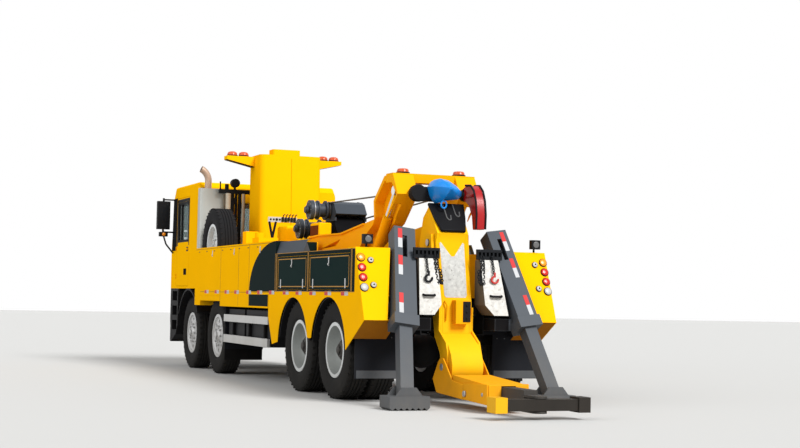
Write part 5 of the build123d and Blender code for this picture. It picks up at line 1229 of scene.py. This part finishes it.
# The boxes lean: outline is across and height, and boxFace gives the face's place at a height
treadBox = {"outline": ((0.29, 1.77), (0.29, 1.215), (0.395, 1.09), (0.588, 1.09), (0.527, 1.77)), "front": -0.96,
            "lean": 0.2868, "top": (-1.12, 1.77), "sheet": (0.0035, 0.0005), "plateFoot": (-1.3185, 0, 1.09),
            "plate": ((0.295, 0.675), (0.295, 0.13), (0.40, 0.008), (0.58, 0.008), (0.522, 0.675)),
            "foot": ((-1.281, -0.72), (0.4245, 0.615), (0.903, 1.052))}


def boxFace(z):
    return treadBox["top"][0] - treadBox["lean"] * (treadBox["top"][1] - z)


form, walls, feet = bmesh.new(), bmesh.new(), bmesh.new()
for side, hand in sides:
    face = [(boxFace(z), side * y, z) for y, z in treadBox["outline"]]
    addLoft(walls, [[at(*c) for c in face], [at(treadBox["front"], y, z) for x, y, z in face]])
    addLoft(form, [[at(x - out, y, z) for x, y, z in face] for out in treadBox["sheet"]])
    outline = [(-side * a, b) for a, b in treadBox["plate"]][::side]
    addPlate(form, outline, treadBox["plateFoot"], (0, -1, 0), (treadBox["lean"], 0, 1))
    x, y, z = treadBox["foot"]
    addBlock(feet, x, onSide(side, *y), z)
finishPiece(form, "boxTreadPlate", "boxWhite", stands=("chequer_boxes",))
finishPiece(walls, "boxWalls", "boxGrey", edge=0.004, stands=("chequer_boxes",))
finishPiece(feet, "boxFeet", "flatBlack", edge=0.006, stands=("chequer_boxes",))

# On the mast: outline is across and up the mast's own slope, from its foot
mastPlate = {"foot": (-1.0435, 0, 1.30), "slope": (0.157, 0, 0.686), "sheet": (0.0005, 0.004),
             "outline": ((-0.15, 0.03), (-0.13, 0.0), (0.13, 0.0), (0.15, 0.03), (0.165, 0.68), (0.15, 0.70),
                         (0.02, 0.52), (-0.02, 0.52), (-0.15, 0.70), (-0.165, 0.68))}
form = bmesh.new()
run, foot = Vector(mastPlate["slope"]).normalized(), Vector(mastPlate["foot"])
away = Vector((-run.z, 0, run.x))
addLoft(form, [[at(*foot) + Vector((0, -a, 0)) + run * b + away * out for a, b in mastPlate["outline"]]
               for out in mastPlate["sheet"]])
addPlate(form, mastPlate["outline"], foot + away * mastPlate["sheet"][1], (0, -1, 0), run)
finishPiece(form, "mastTreadPlate", "plateWhite", "underlift_mast")

# Racks of bars on the boxes, with a hook on a chain, two looped chains and a grip. drop is ahead and height; route
# is ahead, inwards and height, and each loop gives where it hangs and how far back it swings
rack = {"x": (-1.11, -1.07), "z": (1.7703, 1.9), "y": (0.25, 0.59), "holes": 7, "bar": 0.02, "railFoot": 0.045,
        "railTop": 0.035, "barZ": (0.04, -0.03), "backing": (0.002, 0.005), "hookY": 0.44, "hookZ": 1.54,
        "hookScale": 0.00125, "hookOut": 0.036, "hookHalf": 0.012,
        "hook": ((-9, 62), (9, 62), (9, 30), (34, 18), (44, -4), (38, -32), (14, -50), (-14, -50), (-38, -34),
                 (-46, -10), (-40, 4), (-28, -4), (-28, -20), (-10, -32), (10, -32), (24, -18), (26, -2), (14, 10),
                 (-9, 14)),
        "peg": ((-1.15, -1.105), 1.81, 0.013), "drop": ((-1.138, 1.80), (-1.146, 1.75)), "dropOut": 0.030,
        "dropZ": (1.70, 1.645, 1.615), "chain": {"Pitch": 0.03, "Link Radius": 0.016, "Wire Radius": 0.0062},
        "loops": ((0.29, -1.17), (0.325, -1.18)),
        "route": ((-1.12, 0, 1.80), (-1.15, 0, 1.70), (-1.17, 0.01, 1.55), (-1.21, 0.03, 1.46), (-1.18, 0.045, 1.52),
                  (-1.15, 0.035, 1.62)), "gripZ": 1.33, "gripY": (0.37, 0.52), "gripIn": 0.012,
        "gripOut": (0.004, 0.044), "gripSag": 0.008, "gripRadius": 0.014, "gripBend": 0.02}
bars, chains, redHooks, grips = (bmesh.new() for _ in range(4))
for side, hand in sides:
    y0, y1 = onSide(side, *rack["y"])
    z0, z1 = rack["z"]
    addBlock(bars, rack["x"], (y0, y1), (z0, z0 + rack["railFoot"]))
    addBlock(bars, rack["x"], (y0, y1), (z1 - rack["railTop"], z1))
    for n in range(rack["holes"]):
        y = y0 + n * (y1 - y0 - rack["bar"]) / (rack["holes"] - 1)
        addBlock(bars, rack["x"], (y, y + rack["bar"]), (z0 + rack["barZ"][0], z1 + rack["barZ"][1]))
    thick, inset = rack["backing"]
    addBlock(bars, (rack["x"][1] - thick, rack["x"][1]), (y0 + inset, y1 - inset), rack["z"])
    middle, z = side * rack["hookY"], rack["hookZ"]
    drop = [(a, middle, b) for a, b in rack["drop"]]
    drop += [(boxFace(t) - rack["dropOut"], middle, t) for t in rack["dropZ"]]
    chains.from_mesh(grow("chain", rack["chain"], lineMesh(drop)))
    (back, front), height, radius = rack["peg"]
    addRod(bars, (back, middle, height), (front, middle, height), radius)
    x, scale = boxFace(z) - rack["hookOut"], rack["hookScale"]
    addSlab(redHooks if side < 0 else chains, [(middle + scale * a, z + scale * b) for a, b in rack["hook"]],
            about(x, rack["hookHalf"]), "x")
    for y, swing in rack["loops"]:
        route = list(rack["route"])
        route[2] = (swing, *route[2][1:])
        chains.from_mesh(grow("chain", rack["chain"], lineMesh([(a, side * (y - b), c) for a, b, c in route])))
    grip, t, inset = boxFace(rack["gripZ"]), rack["gripZ"], rack["gripIn"]
    (a, b), (near, far), sag = onSide(side, *rack["gripY"]), rack["gripOut"], t - rack["gripSag"]
    addSweep(grips, [(grip - near, a, t), (grip - far, a + inset, sag), (grip - far, b - inset, sag),
                     (grip - near, b, t)], rack["gripRadius"], rack["gripBend"])
finishPiece(bars, "rackBars", "chassisBlack", edge=0.003, stands=("hook_racks",))
finishPiece(chains, "rackChains", "chassisBlack", stands=("hook_racks",))
finishPiece(redHooks, "rackHook", "hookRed", edge=0.004, stands=("hook_racks",))
finishPiece(grips, "boxHandles", "plainBlack", stands=("hook_racks",))

# Flaps: a strip with bolts on the rear ones, the lower half behind the second axle, shells on the guards' posts
flap = {"strip": ((-0.8573, -0.8553), (0.62, 1.21), (0.305, 0.40)), "bolts": 6, "boltStart": 0.66, "boltPitch": 0.1,
        "boltX": (-0.8553, -0.862), "boltZ": 0.8, "boltRadius": 0.01,
        "front": ((5.1715, 5.1835), (0.61, 1.228), (0.25, 0.43)), "posts": (3.0, 3.8, 4.7), "postHalf": 0.0262,
        "postY": (1.19, 1.2318), "postZ": (0.661, 0.864)}
strips, ends = bmesh.new(), bmesh.new()
for side, hand in sides:
    for form, (x, y, z) in ((strips, flap["strip"]), (ends, flap["front"])):
        addBlock(form, x, onSide(side, *y), z)
    for n in range(flap["bolts"]):
        foot, head = ((x, side * (flap["boltStart"] + flap["boltPitch"] * n), flap["boltZ"]) for x in flap["boltX"])
        addRod(strips, foot, head, flap["boltRadius"], 6)
    for x in flap["posts"]:
        addBlock(ends, about(x, flap["postHalf"]), onSide(side, *flap["postY"]), flap["postZ"])
finishPiece(strips, "flapStrips", "legGrey")
finishPiece(ends, "axleFlapEnds", "flatBlack")
print("rear made")

# Underlift: mast with a closed nose about the stinger's pin, control box, and a leaning black sheet with a backing,
# painted shade for the hollow at the mast's top, with hoses over it. The sheet's rows are ahead, height and half
# width; its two faces stand out along the given outward direction
mast = {"half": 0.21, "cheek": 0.18, "noseHalf": 0.205, "pivot": (-0.735, 1.978), "pivotRod": (0.265, 0.045),
        "pin": (-1.258, 0.463), "pinRod": (0.2, 0.2435, 0.062),
        "body": ((-0.928, 2.093), (-0.886, 1.986), (-1.051, 1.267), (-1.070, 0.866), (-0.900, 0.80), (-0.780, 1.25),
                 (-0.347, 1.966), (-0.461, 2.301)),
        "tip": ((-0.658, 2.449),), "notch": ((-0.56, 2.375), (-0.56, 2.18), (-0.76, 2.18), (-0.76, 2.3145)),
        "nose": ((-1.070, 0.866), (-1.304, 0.731), (-1.395, 0.62), (-1.440, 0.50), (-1.443, 0.44), (-1.425, 0.375),
                 (-1.385, 0.325), (-1.325, 0.295), (-1.25, 0.287), (-1.17, 0.30), (-1.11, 0.35), (-1.06, 0.62),
                 (-0.900, 0.80)),
        "rim": ((-1.070, 1.18), (-1.064, 0.90), (-1.285, 0.76), (-1.335, 0.64), (-1.33, 0.46), (-1.29, 0.40),
                (-1.22, 0.40), (-1.19, 0.46), (-1.20, 0.66), (-1.01, 0.82), (-1.01, 1.18)), "rimY": (0.204, 0.228),
        "box": ((-1.17, -1.05), (-0.14, 0.05), (0.98, 1.27)),
        "panel": ((-1.178, -1.169), (-0.145, -0.045), (1.005, 1.255)),
        "knobs": (1.05, 1.13, 1.21), "knobX": (-1.176, -1.19), "knobY": -0.095, "knobRadius": 0.014,
        "lead": ((-1.065, 0.155, 1.26), (-1.09, 0.15, 1.235), (-1.088, 0.13, 1.19), (-1.082, 0.14, 1.02)),
        "leadRadius": 0.01, "leadBend": 0.02, "shadeSheetOut": (-0.797, 0.604), "shadeSheetFaces": (0.003, 0.045),
        "shadeSheetRows": ((-0.925, 2.10, 0.165), (-0.790, 2.279, 0.215), (-0.660, 2.452, 0.245)),
        "backing": ((0.15, 2.02), (0.205, 2.42), (0.20, 2.45), (-0.16, 2.45), (-0.205, 2.42), (-0.15, 2.02)),
        "backingX": (-0.7025, -0.597)}
form, orange, dark, hoses = (bmesh.new() for _ in range(4))
for y in ((mast["cheek"], mast["half"]), (-mast["half"], -mast["cheek"])):
    addSlab(form, mast["tip"] + mast["body"], y)
addSlab(form, mast["body"] + mast["notch"], (-mast["cheek"], mast["cheek"]))
addSlab(form, mast["nose"], (-mast["noseHalf"], mast["noseHalf"]))
for side, hand in sides:
    addSlab(form, mast["rim"], onSide(side, *mast["rimY"]))
    (x, z), (near, far, radius) = mast["pin"], mast["pinRod"]
    addRod(form, (x, side * near, z), (x, side * far, z), radius, 28, 0.004)
(x, z), (half, radius) = mast["pivot"], mast["pivotRod"]
addRod(dark, (x, -half, z), (x, half, z), radius, 28, 0.004)
addBlock(orange, *mast["box"])
addBlock(dark, *mast["panel"])
for z in mast["knobs"]:
    foot, end = ((x, mast["knobY"], z) for x in mast["knobX"])
    addRod(dark, foot, end, mast["knobRadius"], 12)
addSweep(orange, mast["lead"], mast["leadRadius"], mast["leadBend"])
# The black sheet and its backing below are painted shade for the hollow at the mast's top
outX, outZ = mast["shadeSheetOut"]
rings = [[hoses.verts.new(at(x + out * outX, y, z + out * outZ)) for x, z, half in mast["shadeSheetRows"]
          for y in (-half, half)] for out in mast["shadeSheetFaces"]]
for ring, turned in ((rings[0], False), (rings[1], True)):
    for i in (0, 2):
        quad = [ring[i], ring[i + 1], ring[i + 3], ring[i + 2]]
        hoses.faces.new(quad[::-1] if turned else quad)
border = (0, 1, 3, 5, 4, 2)
for a, b in zip(border, border[1:] + border[:1]):
    hoses.faces.new((rings[0][a], rings[1][a], rings[1][b], rings[0][b]))
addSlab(hoses, mast["backing"], mast["backingX"], "x")
for shape, name, finish, slot, edge in ((form, "mastBody", "mastYellow", "body_yellow", 0.006),
                                        (orange, "mastBox", "boomOrange", "boom_orange", 0.006),
                                        (dark, "mastPanel", "plainBlack", "trim_black", 0.002),
                                        (hoses, "mastHollowShade", "hollowShadeBlack", "rubber", 0.012)):
    finishPiece(shape, name, finish, "underlift_mast", edge=edge, stands=("underlift_mast",))

# Hoses that hang over the black sheet, coloured grey as a painted highlight on dark hoses: across and up the sheet's
# slope, from its foot
mastHose = {"foot": (-0.965, 2.13), "slope": (0.265, 0, 0.352), "hoses": ((0.02, 0.16), (-0.11, 0.22)), "top": 0.42,
            "loop": ((0.03, 0.04), (0.01, 0), (-0.02, 0.01), (-0.03, 0.08)), "start": 0.035, "radius": 0.009,
            "bend": 0.03}
form = bmesh.new()
run, (x, z) = Vector(mastHose["slope"]).normalized(), mastHose["foot"]
for y, foot in mastHose["hoses"]:
    route = [(y + mastHose["start"], mastHose["top"]), *((y + a, foot + b) for a, b in mastHose["loop"])]
    addSweep(form, [(x + run.x * up, across, z + run.z * up) for across, up in route], mastHose["radius"],
             mastHose["bend"])
# The hoses' grey is a painted highlight
finishPiece(form, "mastHoses", "castGrey", "underlift_mast")

# Yellow skins over the frame's two ears beside the mast, and bright ends on the pin
ears = {"outline": ((-0.895, 1.42), (-0.8735, 1.70), (-0.8335, 2.0835), (-0.6365, 2.0835), (-0.5965, 1.70),
                    (-0.575, 1.42)), "y": (0.2147, 0.2535), "pinY": (0.2653, 0.268), "pinRadius": 0.043}
form, pins = bmesh.new(), bmesh.new()
for side, hand in sides:
    addSlab(form, ears["outline"], onSide(side, *ears["y"]))
    near, far = ((mast["pivot"][0], side * y, mast["pivot"][1]) for y in ears["pinY"])
    addRod(pins, near, far, ears["pinRadius"], 24)
finishPiece(form, "mastEars", "mastYellow")
finishPiece(pins, "mastPins", "steel", "underlift_mast")

# Stinger: cheeks outside the nose, a box with wings, and a socket for the inner box.
# pins: ahead, height, reach outwards, radius, sectors, chamfer
stinger = {"cheek": ((-0.98, 0.31), (-1.14, 0.525), (-1.20, 0.57), (-1.29, 0.57), (-1.37, 0.50), (-1.56, 0.325),
                     (-1.90, 0.29), (-1.90, 0.115), (-1.10, 0.150)),
           "wing": ((-1.88, 0.31), (-2.545, 0.335), (-2.545, 0.098), (-1.88, 0.12)), "outerY": (0.2455, 0.262),
           "hole": 0.0905, "half": 0.2455,
           "side": ((-1.56, 0.385), (-2.56, 0.325), (-2.56, 0.105), (-1.30, 0.135), (-1.30, 0.155), (-1.56, 0.19)),
           "topPlate": ((-1.56, 0.385), (-2.56, 0.325), (-2.56, 0.3125), (-1.56, 0.3125)), "topHalf": 0.0915,
           "floorPlate": ((-1.15, 0.160), (-2.56, 0.150), (-2.56, 0.105), (-1.15, 0.140)),
           "pins": ((*mast["pin"], 0.274, 0.043, 28, 0.004), (-1.95, 0.19, 0.285, 0.036, 24, 0.004),
                    (-2.42, 0.21, 0.27, 0.022, 20, 0.003))}
form, pins = bmesh.new(), bmesh.new()
for side, hand in sides:
    addSlab(form, stinger["cheek"], onSide(side, *stinger["outerY"]))
    addSlab(form, stinger["side"], onSide(side, stinger["hole"], stinger["half"]))
    addSlab(form, stinger["wing"], onSide(side, *stinger["outerY"]))
    for x, z, reach, radius, sectors, chamfer in stinger["pins"]:
        addRod(pins, (x, side * stinger["outerY"][1], z), (x, side * reach, z), radius, sectors, chamfer)
addSlab(form, stinger["topPlate"], (-stinger["topHalf"], stinger["topHalf"]))
addSlab(form, stinger["floorPlate"], (-stinger["half"], stinger["half"]))
finishPiece(form, "stingerBody", "stingerOrange", "stinger", edge=0.005, stands=("stinger",))
finishPiece(pins, "stingerPins", "steel", "stinger", stands=("stinger",))

# Rope heads. Left: a faceted hood that narrows towards the rear, on a black hub, with a loop below.
# rings: ahead and scale about the centre
hood = {"outline": ((0.226, 2.674), (0.175, 2.745), (0.12, 2.778), (0.012, 2.759), (-0.10, 2.695), (-0.175, 2.625),
                    (-0.170, 2.575), (-0.129, 2.528), (0.007, 2.512), (0.07, 2.505), (0.114, 2.475), (0.165, 2.515),
                    (0.197, 2.576)),
        "rings": ((-0.60, 1.0), (-0.78, 1.0), (-0.90, 0.62), (-0.965, 0.12)), "centre": (0.055, 2.655),
        "loop": (-0.82, 0.085, 2.452), "loopReach": (0.036, 0.045), "loopRadius": 0.011, "loopPoints": 16,
        "hub": ((0, 0), (0, 0.062), (0.02, 0.105), (0.10, 0.112), (0.135, 0.10), (0.135, 0)),
        "hubPlace": (-0.4803, 0.33, 2.6), "neck": ((-0.615, -0.52), (0.08, 0.34), (2.50, 2.68)),
        "knob": ((0, 0), (0, 0.05), (0.05, 0.035), (0.06, 0.02), (0.06, 0)), "knobPlace": (-0.74, -0.165, 2.60),
        "knobAxis": (0, -1, -0.3)}
form, black = bmesh.new(), bmesh.new()
cy, cz = hood["centre"]
addLoft(form, [[at(x, cy + (y - cy) * scale, cz + (z - cz) * scale) for y, z in hood["outline"]]
               for x, scale in hood["rings"]])
(x, y, z), (wide, tall), count = hood["loop"], hood["loopReach"], hood["loopPoints"]
addSweep(form, [(x, y + wide * math.sin(t), z + tall * math.cos(t))
                for t in (math.tau * n / count for n in range(count))], hood["loopRadius"], loop=True)
addLathe(black, hood["hub"], hood["hubPlace"], (-1, 0, 0), 32)
addBlock(black, *hood["neck"])
addLathe(black, hood["knob"], hood["knobPlace"], hood["knobAxis"], 20)
finishPiece(form, "blueHood", "headBlue", "rope_head_left", edge=0.004, stands=("rope_head_left",))
finishPiece(black, "blueHub", "plainBlack", "rope_head_left", stands=("rope_head_left",))

# Right: a slim arm that hangs down, with a dark cord on each face along its outer edge
arm = {"outline": ((-0.4803, 2.66), (-0.4803, 2.53), (-0.62, 2.52), (-0.74, 2.45), (-0.83, 2.32), (-0.865, 2.15),
                   (-0.985, 2.15), (-0.995, 2.33), (-0.965, 2.50), (-0.90, 2.63), (-0.80, 2.705), (-0.64, 2.715)),
       "y": (-0.402, -0.292), "rimFrom": 6, "rimOut": 0.008, "rimShift": 0.004, "rimRadius": 0.013,
       "bar": ((-0.88, -0.70), (-0.425, -0.27), (2.56, 2.60)), "hubPlace": (-0.4803, -0.33, 2.6),
       "hub": ((0, 0), (0, 0.05), (0.03, 0.08), (0.10, 0.085), (0.10, 0))}
form, black = bmesh.new(), bmesh.new()
addSlab(form, arm["outline"], arm["y"])
for y in (arm["y"][0] - arm["rimOut"], arm["y"][1] + arm["rimOut"]):
    addSweep(black, [(x - arm["rimShift"], y, z + arm["rimShift"]) for x, z in arm["outline"][arm["rimFrom"]:]],
             arm["rimRadius"])
addBlock(form, *arm["bar"])
addLathe(black, arm["hub"], arm["hubPlace"], (-1, 0, 0), 32)
finishPiece(form, "redArm", "headRed", "rope_head_right", edge=0.008, stands=("rope_head_right",))
finishPiece(black, "redArmRim", "plainBlack", "rope_head_right", stands=("rope_head_right",))
print("underlift and heads made")

# Legs: pairs of red and white tape up the rear face of the sleeves
leg = {"top": (-0.763, 0.619, 2.10), "foot": (-1.387, 0.818, 0.93), "pairs": (0.02, 0.40, 0.92), "tapeLength": 0.135,
       "tapeWidth": 0.055, "face": (0.1085, 0.1105), "shift": 0.062}
red, white = bmesh.new(), bmesh.new()
for side, hand in sides:
    top, foot = (Vector((x, side * y, z)) for x, y, z in (leg["top"], leg["foot"]))
    run = (foot - top).normalized()
    across = Vector((0, 1, 0)).cross(run).cross(run).normalized()
    out = run.cross(across).normalized()
    out = out if out.x < 0 else -out
    half, length = leg["tapeWidth"] / 2, leg["tapeLength"]
    for n in range(2 * len(leg["pairs"])):
        start = top + run * (leg["pairs"][n // 2] + (n % 2) * length) + Vector((0, side * leg["shift"], 0))
        addBox((red, white)[n % 2], [at(*(start + across * a + run * b + out * c))
                                     for a in (-half, half) for b in (0, length) for c in leg["face"]])
finishPiece(red, "legTapeRed", "tapeRed")
finishPiece(white, "legTapeWhite", "tapeWhite")
print("legs made")
